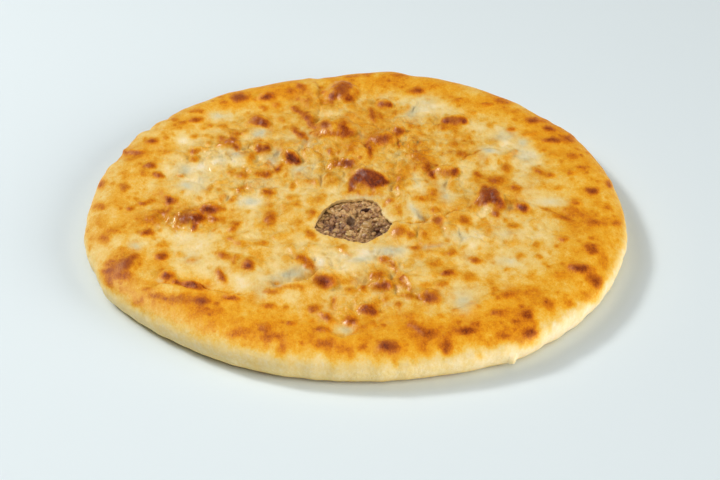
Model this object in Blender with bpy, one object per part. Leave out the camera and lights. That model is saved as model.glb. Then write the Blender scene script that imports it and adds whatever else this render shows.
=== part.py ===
"""Ossetian pie: a flat round pie of thin wheat dough round a minced meat filling.

Two bodies, in metres, +Z up, standing on z = 0 with the outline centred on the Z axis:
  crust         one dough shell: flat underside, rounded side, blistered lid with a torn vent
  meat_filling  the disc of minced meat that runs through the pie and shows in the vent
"""

import math

import bmesh
import bpy

MM = 0.001

# ---- driving dimensions (metres) -------------------------------------------------
PIE_RADIUS = 167.0 * MM  # mean radius of the outline
# Unevenness of the hand-stretched outline: waves round the edge -> (cos, sin) in metres.
OUTLINE_WAVES = {
    1: (-0.4 * MM, 1.0 * MM),
    2: (-0.5 * MM, -0.3 * MM),
    3: (-1.6 * MM, -1.6 * MM),
    4: (-0.9 * MM, -0.4 * MM),
    5: (0.8 * MM, -0.1 * MM),
    6: (-0.4 * MM, 0.8 * MM),
    7: (0.0 * MM, -0.2 * MM),
    8: (-0.3 * MM, -0.5 * MM),
}

SIDE_WIDEST = 10.8 * MM  # height at which the side is widest
FOOT_ROUND = 10.0 * MM  # how far the flat underside stays inside the outline
SHOULDER = 20.0 * MM  # width of the rounded shoulder, in from the outline
SHOULDER_TOP = 21.3 * MM  # height where the shoulder meets the lid
SHOULDER_POWER = 2.2  # 2 is a quarter ellipse, more is squarer

LID_RISE = 1.6 * MM  # extra height of the lid at the vent
DIP_RADIUS = 122.0 * MM  # a shallow valley runs inside the puffed edge
DIP_WIDTH = 17.0 * MM
DIP_DEPTH = 1.5 * MM

LID_DOUGH = 3.0 * MM  # thickness of the lid
FLOOR_DOUGH = 3.0 * MM  # thickness of the underside
SIDE_DOUGH = 12.0 * MM  # the two sheets are pressed together at the side
GAP = 0.3 * MM  # clearance between the dough and the meat

VENT_CENTRE = (-2.0 * MM, -29.1 * MM)
# The vent is torn open by hand: (direction in degrees, reach in metres) of its corners and flats.
VENT_CORNERS = (
    (10, 20.6 * MM),
    (32, 20.0 * MM),
    (60, 24.6 * MM),
    (90, 23.4 * MM),
    (117, 24.0 * MM),
    (150, 20.6 * MM),
    (176, 22.9 * MM),
    (198, 24.8 * MM),
    (216, 23.0 * MM),
    (249, 19.8 * MM),
    (288, 24.6 * MM),
    (317, 23.2 * MM),
    (350, 23.8 * MM),
)
LIP_ROUND = 1.0 * MM  # the torn lip is slightly rounded
MEAT_IN_VENT = 17.4 * MM  # mean height of the meat seen in the vent
MEAT_LUMPS = 0.6 * MM

SECTORS = 84

# Steam blisters that stand up from the lid: x, y, half width, half depth, turn (degrees), height.
BLISTERS = (
    (6.0, 20.0, 13.0, 15.0, -10, 5.0),
    (80.0, -5.0, 9.0, 15.0, 12, 3.6),
    (-45.0, 46.0, 7.0, 12.0, 15, 2.8),
    (-12.0, 135.0, 11.0, 14.0, -10, 2.6),
    (-97.0, -24.0, 14.0, 10.0, 35, 2.6),
    (-12.0, 82.0, 15.0, 14.0, 0, 3.0),
    (16.0, 68.0, 9.0, 9.0, 0, 2.2),
    (24.0, -40.0, 10.0, 9.0, 0, 2.0),
    (-20.0, -92.0, 8.0, 8.0, 0, 1.8),
    (-137.0, -78.0, 11.0, 15.0, -20, 1.4),
    (66.0, 95.0, 10.0, 9.0, 0, 1.6),
    (40.0, -107.0, 8.0, 8.0, 0, 1.4),
)

# Long soft swells of the lid: direction in degrees, wavelength, height, phase in degrees.
SWELLS = (
    (20, 96.0, 0.45, 40),
    (75, 71.0, 0.35, 200),
    (128, 58.0, 0.30, 110),
    (160, 43.0, 0.22, 300),
    (48, 37.0, 0.18, 15),
)


def smooth(low, high, value):
    """Rises from 0 to 1 between low and high, level at both ends."""
    t = min(1.0, max(0.0, (value - low) / (high - low)))
    return t * t * (3.0 - 2.0 * t)


def outline(angle):
    radius = PIE_RADIUS
    for waves, (cosine, sine) in OUTLINE_WAVES.items():
        radius += cosine * math.cos(waves * angle) + sine * math.sin(waves * angle)
    return radius


def vent_reach(angle):
    """Reach of the vent in this direction, eased between its corners."""
    turn = math.degrees(angle) % 360.0
    count = len(VENT_CORNERS)
    for i in range(count):
        start, here = VENT_CORNERS[i]
        end, there = VENT_CORNERS[(i + 1) % count]
        span = (end - start) % 360.0
        along = (turn - start) % 360.0
        if along < span:
            return here + (there - here) * smooth(0.0, span, along)
    return VENT_CORNERS[0][1]


def outer_point(angle, inset):
    """The point this far inside the outline, towards the axis."""
    reach = outline(angle) - inset
    return reach * math.cos(angle), reach * math.sin(angle)


def vent_point(angle, grow=0.0):
    reach = vent_reach(angle) + grow
    return (
        VENT_CENTRE[0] + reach * math.cos(angle),
        VENT_CENTRE[1] + reach * math.sin(angle),
    )


def lid_height(x, y):
    """Height of the top surface: shoulder, puffed edge, shallow valley, rise to the vent, blisters, swells."""
    radius = math.hypot(x, y)
    inset = outline(math.atan2(y, x)) - radius
    if inset <= 0.0:
        return SIDE_WIDEST
    part = min(1.0, inset / SHOULDER)
    shoulder = (1.0 - (1.0 - part) ** SHOULDER_POWER) ** (1.0 / SHOULDER_POWER)
    height = SIDE_WIDEST + (SHOULDER_TOP - SIDE_WIDEST) * shoulder
    height += LID_RISE * (1.0 - smooth(20.0 * MM, 120.0 * MM, radius))
    height -= DIP_DEPTH * math.exp(-(((radius - DIP_RADIUS) / DIP_WIDTH) ** 2))
    loose = smooth(6.0 * MM, 36.0 * MM, inset)
    for turn, length, rise, phase in SWELLS:
        along = x * math.cos(math.radians(turn)) + y * math.sin(math.radians(turn))
        wave = math.sin(2.0 * math.pi * along / (length * MM) + math.radians(phase))
        height += loose * rise * MM * wave
    for bx, by, wide, deep, turn, rise in BLISTERS:
        c, s = math.cos(math.radians(turn)), math.sin(math.radians(turn))
        dx, dy = x - bx * MM, y - by * MM
        u = (c * dx + s * dy) / (wide * MM)
        v = (c * dy - s * dx) / (deep * MM)
        height += rise * MM * math.exp(-1.4 * (u * u + v * v) ** 1.3)
    return height


def lid_point(angle, share):
    """share 0 is the vent's lip, 1 is the inner end of the shoulder."""
    a, b = vent_point(angle), outer_point(angle, SHOULDER)
    x = a[0] + (b[0] - a[0]) * share
    y = a[1] + (b[1] - a[1]) * share
    return x, y, lid_height(x, y)


def meat_in_vent(x, y):
    """Crumbled surface of the mince where it shows."""
    lumps = (
        math.sin(x / (2.6 * MM) + 0.4) * math.cos(y / (3.1 * MM))
        + 0.7 * math.sin(x / (4.4 * MM) - 1.1) * math.sin(y / (4.9 * MM) + 0.8)
    )
    return MEAT_IN_VENT + MEAT_LUMPS * lumps / 1.7


def crust_rings(angle):
    """One meridian of the shell: underside, side, lid, lip, then back along the cavity."""
    points = []
    # underside: flat, then rounded up to the widest height
    for step in range(5):
        q = 0.5 * math.pi * step / 4.0
        inset = FOOT_ROUND * (1.0 - math.sin(q))
        x, y = outer_point(angle, inset)
        points.append((x, y, SIDE_WIDEST * (1.0 - math.cos(q))))
    # shoulder
    for inset in (0.4, 1.4, 3.2, 6.0, 9.8, 14.6):
        x, y = outer_point(angle, inset * MM)
        points.append((x, y, lid_height(x, y)))
    # lid, towards the vent
    for share in (1.0, 0.89, 0.78, 0.67, 0.56, 0.45, 0.35, 0.26, 0.18, 0.11, 0.05):
        points.append(lid_point(angle, share))
    # torn lip
    x, y = vent_point(angle, 0.35 * LIP_ROUND)
    points.append((x, y, lid_height(x, y) - 0.25 * LIP_ROUND))
    x, y = vent_point(angle)
    points.append((x, y, lid_height(x, y) - LIP_ROUND))
    x, y = vent_point(angle, 0.2 * LIP_ROUND)
    points.append((x, y, lid_height(x, y) - LID_DOUGH))
    # ceiling of the cavity, outwards
    for share in (0.06, 0.18, 0.35, 0.56, 0.78, 1.0):
        x, y, z = lid_point(angle, share)
        points.append((x, y, z - LID_DOUGH))
    x, y = outer_point(angle, SIDE_DOUGH + 6.0 * MM)
    points.append((x, y, lid_height(x, y) - LID_DOUGH - 0.6 * MM))
    # side of the cavity and its floor
    x, y = outer_point(angle, SIDE_DOUGH)
    points.append((x, y, SIDE_WIDEST + 0.5 * MM))
    x, y = outer_point(angle, SIDE_DOUGH + 2.5 * MM)
    points.append((x, y, FLOOR_DOUGH + 1.5 * MM))
    x, y = outer_point(angle, SIDE_DOUGH + 6.0 * MM)
    points.append((x, y, FLOOR_DOUGH))
    return points


def meat_rings(angle):
    """One meridian of the meat disc, from its underside to the middle of the vent."""
    points = []
    x, y = outer_point(angle, SIDE_DOUGH + 6.0 * MM + GAP)
    points.append((x, y, FLOOR_DOUGH + GAP))
    x, y = outer_point(angle, SIDE_DOUGH + 2.5 * MM + GAP)
    points.append((x, y, FLOOR_DOUGH + 1.5 * MM + 1.5 * GAP))
    x, y = outer_point(angle, SIDE_DOUGH + GAP * 1.5)
    points.append((x, y, SIDE_WIDEST + 0.5 * MM))
    x, y = outer_point(angle, SIDE_DOUGH + 6.0 * MM + 2.0 * GAP)
    points.append((x, y, lid_height(x, y) - LID_DOUGH - 0.6 * MM - 1.5 * GAP))
    for share in (1.0, 0.78, 0.56, 0.35, 0.18, 0.06):
        x, y, z = lid_point(angle, share)
        points.append((x, y, z - LID_DOUGH - GAP * 1.5))
    # the mince steps down a little where it shows in the vent
    x, y = vent_point(angle, 0.0)
    under_lid = lid_height(x, y) - LID_DOUGH - 2.0 * GAP
    points.append((x, y, min(under_lid, meat_in_vent(x, y) + 0.8 * MM)))
    for scale in (0.84, 0.66, 0.48, 0.30, 0.14):
        px = VENT_CENTRE[0] + (x - VENT_CENTRE[0]) * scale
        py = VENT_CENTRE[1] + (y - VENT_CENTRE[1]) * scale
        points.append((px, py, meat_in_vent(px, py)))
    return points


def turned_body(name, rings, first_pole, last_pole, finish):
    """Closes the meridians rings(angle) round the axis, with a pole at each end."""
    mesh_tool = bmesh.new()
    columns = []
    for sector in range(SECTORS):
        angle = 2.0 * math.pi * sector / SECTORS
        columns.append([mesh_tool.verts.new(p) for p in rings(angle)])
    first = mesh_tool.verts.new(first_pole)
    last = mesh_tool.verts.new(last_pole)
    for sector in range(SECTORS):
        here, after = columns[sector], columns[(sector + 1) % SECTORS]
        mesh_tool.faces.new((first, after[0], here[0]))
        for a in range(len(here) - 1):
            # shorter diagonal first, so that steep quads don't fold
            p, q, r, s = here[a], after[a], after[a + 1], here[a + 1]
            if (p.co - r.co).length < (q.co - s.co).length:
                mesh_tool.faces.new((p, q, r))
                mesh_tool.faces.new((p, r, s))
            else:
                mesh_tool.faces.new((p, q, s))
                mesh_tool.faces.new((q, r, s))
        mesh_tool.faces.new((last, here[-1], after[-1]))
    bmesh.ops.recalc_face_normals(mesh_tool, faces=mesh_tool.faces)
    mesh = bpy.data.meshes.new(name)
    mesh_tool.to_mesh(mesh)
    mesh_tool.free()
    mesh.shade_smooth()
    mesh.materials.append(finish)
    body = bpy.data.objects.new(name, mesh)
    bpy.context.scene.collection.objects.link(body)
    return body


def principled(name, colour, roughness, subsurface=0.0):
    finish = bpy.data.materials.new(name)
    finish.use_nodes = True
    shader = finish.node_tree.nodes["Principled BSDF"]
    shader.inputs["Base Color"].default_value = (*colour, 1.0)
    shader.inputs["Roughness"].default_value = roughness
    shader.inputs["Metallic"].default_value = 0.0
    shader.inputs["Subsurface Weight"].default_value = subsurface
    return finish


def outline_middle():
    """Middle of the outline's bounding box."""
    ring = [outer_point(2.0 * math.pi * i / SECTORS, 0.0) for i in range(SECTORS)]
    xs, ys = [p[0] for p in ring], [p[1] for p in ring]
    return (min(xs) + max(xs)) / 2.0, (min(ys) + max(ys)) / 2.0


def main():
    for old in list(bpy.data.objects):
        bpy.data.objects.remove(old, do_unlink=True)

    dough = principled("baked_dough", (0.62, 0.36, 0.12), 0.45, 0.1)
    mince = principled("minced_meat", (0.23, 0.15, 0.09), 0.5)

    crust = turned_body(
        "crust",
        crust_rings,
        (0.0, 0.0, 0.0),
        (0.0, 0.0, FLOOR_DOUGH),
        dough,
    )
    meat = turned_body(
        "meat_filling",
        meat_rings,
        (0.0, 0.0, FLOOR_DOUGH + GAP),
        (*VENT_CENTRE, meat_in_vent(*VENT_CENTRE)),
        mince,
    )
    # the outline's middle stands on the Z axis
    dx, dy = outline_middle()
    for body in (crust, meat):
        body.location = (-dx, -dy, 0.0)


main()
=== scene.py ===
import math

import bpy
import numpy as np
from mathutils import Euler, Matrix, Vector


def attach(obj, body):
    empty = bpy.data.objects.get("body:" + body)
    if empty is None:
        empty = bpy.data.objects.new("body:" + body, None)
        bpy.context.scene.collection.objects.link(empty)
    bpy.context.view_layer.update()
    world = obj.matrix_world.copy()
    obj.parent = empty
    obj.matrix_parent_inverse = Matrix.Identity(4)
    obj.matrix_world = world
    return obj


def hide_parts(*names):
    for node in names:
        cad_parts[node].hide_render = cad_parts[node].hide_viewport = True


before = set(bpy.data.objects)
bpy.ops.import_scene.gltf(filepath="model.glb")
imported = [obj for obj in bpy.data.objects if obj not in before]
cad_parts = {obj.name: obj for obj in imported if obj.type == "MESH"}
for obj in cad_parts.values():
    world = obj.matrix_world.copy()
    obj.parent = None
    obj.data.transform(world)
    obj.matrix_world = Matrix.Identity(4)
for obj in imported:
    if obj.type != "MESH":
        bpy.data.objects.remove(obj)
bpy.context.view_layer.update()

# =====================================================================================
# Sizes, in millimetres. They repeat the construction's own dimensions.
# =====================================================================================
PIE_RADIUS = 167.0
OUTLINE_WAVES = {
    1: (-0.4, 1.0), 2: (-0.5, -0.3), 3: (-1.6, -1.6), 4: (-0.9, -0.4), 5: (0.8, -0.1), 6: (-0.4, 0.8), 7: (0.0, -0.2), 8: (-0.3, -0.5),
}
SIDE_WIDEST, FOOT_ROUND = 10.8, 10.0
SHOULDER, SHOULDER_TOP, SHOULDER_POWER = 20.0, 21.3, 2.2
LID_RISE, DIP_RADIUS, DIP_WIDTH, DIP_DEPTH = 1.6, 122.0, 17.0, 1.5
LID_DOUGH, FLOOR_DOUGH, SIDE_DOUGH = 3.0, 3.0, 12.0
VENT = np.array([-2.0, -29.1])
VENT_CORNERS = (
    (1, 20.9), (13, 18.8), (27, 18.3), (42, 21.0), (54, 22.6), (65, 22.8), (74, 22.1), (84, 21.4), (94, 20.9), (104, 21.5), (114, 21.9),
    (127, 21.1), (143, 20.0), (161, 20.1), (179, 21.7), (191, 23.7), (200, 25.4), (209, 25.0), (215, 24.4), (230, 21.8), (251, 20.6),
    (266, 22.4), (277, 24.6), (284, 26.0), (289, 26.2), (303, 24.2), (315, 24.2), (326, 24.3), (336, 23.9), (349, 23.2), (356, 22.4),
)
SWELLS = ((20, 96.0, 0.45, 40), (75, 71.0, 0.35, 200), (128, 58.0, 0.30, 110), (160, 43.0, 0.22, 300), (48, 37.0, 0.18, 15))
SECTORS = 84

# Small bumps and dents of the outline: direction (degrees), height (mm), half width (degrees).
OUTLINE_BUMPS = (
    (41, -1.4, 3.5), (48, 0.5, 3.0), (83, 2.4, 5.0), (76, -1.6, 2.5), (97, -1.8, 3.5), (107, 0.5, 3.0), (124, 0.8, 4.0), (160, -2.0, 3.0),
    (150, 0.6, 4.0), (143, -0.8, 2.0), (172, 0.4, 4.0), (-168, 0.8, 3.0), (-157, -1.4, 4.0), (-147, 0.8, 3.0), (-120, 0.4, 6.0),
    (-103, -0.5, 5.0), (-85, 0.7, 3.0), (-75, -0.6, 3.0), (-56, 1.0, 3.0), (-50, -0.5, 2.0), (-13, 0.5, 3.0), (20, -0.5, 3.0), (8, 0.5, 3.0),
    (128, -0.6, 1.6), (115, -0.5, 1.6), (66, -0.4, 1.4), (58, 0.4, 1.6), (30, 0.4, 1.6), (90, 0.4, 1.5), (136, 0.5, 1.5),
    (147.7, -1.7, 1.1), (150.2, 1.2, 1.3), (141.3, -1.5, 1.1), (143.8, 1.1, 1.2), (100.1, -1.2, 1.2), (102.6, 0.8, 1.4), (-51.4, -0.6, 1.0),
    (-45.6, -0.5, 1.0), (-42.6, 0.4, 1.2), (162.6, -0.9, 1.2), (165.4, 0.7, 1.4),
)

# =====================================================================================
# The camera stands where the reference view was taken from.
# =====================================================================================
EYE = np.array([0.0, -837.73, 546.89])
PITCH, YAW = math.radians(33.740), math.radians(0.097)
DEEP = 0.68  # blisters and mottling are a little longer from front to back than from side to side
REF_Z = 20.5  # features below are placed on this level, as the camera sees them


def outline(angle, bumps=True):
    radius = PIE_RADIUS + 0.0 * angle
    for k, (c, s) in OUTLINE_WAVES.items():
        radius = radius + c * np.cos(k * angle) + s * np.sin(k * angle)
    if bumps:
        for turn, rise, half in OUTLINE_BUMPS:
            d = (np.degrees(angle) - turn + 180.0) % 360.0 - 180.0
            radius = radius + rise * np.exp(-((d / half) ** 2))
        radius = radius + 0.12 * wave_noise(angle, 34, 5) + 0.10 * wave_noise(angle, 71, 6)
    return radius


def wave_noise(angle, around, seed):
    """Smooth noise round the circle, about this many waves in a turn."""
    rng = np.random.RandomState(seed)
    total = 0.0 * angle
    for k in range(int(around * 0.7), int(around * 1.3)):
        total = total + math.sqrt(2.0 / (0.6 * around)) * np.sin(k * angle + rng.uniform(0, 2 * math.pi)) * rng.uniform(0.5, 1.5)
    return total


def smooth(low, high, value):
    t = np.clip((value - low) / (high - low), 0.0, 1.0)
    return t * t * (3.0 - 2.0 * t)


def vent_reach(angle):
    turn = np.degrees(angle) % 360.0
    out = np.zeros_like(turn)
    n = len(VENT_CORNERS)
    for i in range(n):
        a0, r0 = VENT_CORNERS[i]
        a1, r1 = VENT_CORNERS[(i + 1) % n]
        span = (a1 - a0) % 360.0
        along = (turn - a0) % 360.0
        hit = along < span
        t = along[hit] / span
        out[hit] = r0 + (r1 - r0) * (0.5 * t + 0.5 * t * t * (3 - 2 * t))
    return out + 0.10 * wave_noise(angle, 17, 11) + 0.09 * wave_noise(angle, 41, 12)


# the frame's origin is the middle of the plain outline
_ring = 2.0 * math.pi * np.arange(SECTORS) / SECTORS
_r = outline(_ring, False)
MIDDLE = np.array([
    (np.max(_r * np.cos(_ring)) + np.min(_r * np.cos(_ring))) / 2.0,
    (np.max(_r * np.sin(_ring)) + np.min(_r * np.sin(_ring))) / 2.0,
    0.0,
])


# =====================================================================================
# Noise
# =====================================================================================
def _table(seed):
    rng = np.random.RandomState(seed)
    perm = rng.permutation(512)
    ang = rng.uniform(0, 2 * math.pi, 512)
    return perm, np.cos(ang), np.sin(ang)


_tables = {}


def perlin(x, y, size, seed):
    """Gradient noise of about -1 to 1, with features of this size."""
    if seed not in _tables:
        _tables[seed] = _table(seed)
    perm, gx, gy = _tables[seed]
    x, y = x / size + 100.37, y / size + 57.11
    xi, yi = np.floor(x).astype(int), np.floor(y).astype(int)
    xf, yf = x - xi, y - yi
    u, v = xf * xf * xf * (xf * (xf * 6 - 15) + 10), yf * yf * yf * (yf * (yf * 6 - 15) + 10)

    def corner(dx, dy):
        h = perm[(perm[(xi + dx) & 511] + yi + dy) & 511]
        return gx[h] * (xf - dx) + gy[h] * (yf - dy)

    a = corner(0, 0) + u * (corner(1, 0) - corner(0, 0))
    b = corner(0, 1) + u * (corner(1, 1) - corner(0, 1))
    return 1.5 * (a + v * (b - a))


def fbm(x, y, size, seed, octaves=3, gain=0.5):
    total, amp, norm = 0.0, 1.0, 0.0
    for k in range(octaves):
        total = total + amp * perlin(x, y, size / (2.0 ** k), seed + 17 * k)
        norm += amp
        amp *= gain
    return total / norm


def ridged(x, y, size, seed):
    return 1.0 - np.abs(perlin(x, y, size, seed)) * 1.6


def cells(x, y, size, seed):
    """Distance to the nearest of scattered points, in units of size, and that point's own number."""
    rng = np.random.RandomState(seed)
    jx, jy, own = rng.uniform(0, 1, (64, 64)), rng.uniform(0, 1, (64, 64)), rng.uniform(0, 1, (64, 64))
    gx, gy = x / size, y / size
    xi, yi = np.floor(gx).astype(int), np.floor(gy).astype(int)
    best, second, num = np.full(gx.shape, 9.0), np.full(gx.shape, 9.0), np.zeros(gx.shape)
    for dx in (-1, 0, 1):
        for dy in (-1, 0, 1):
            cx, cy = xi + dx, yi + dy
            px, py = cx + jx[cx & 63, cy & 63], cy + jy[cx & 63, cy & 63]
            d = np.hypot(gx - px, gy - py)
            nearer = d < best
            second = np.where(nearer, best, np.minimum(second, d))
            num = np.where(nearer, own[cx & 63, cy & 63], num)
            best = np.where(nearer, d, best)
    return best, second, num


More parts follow.
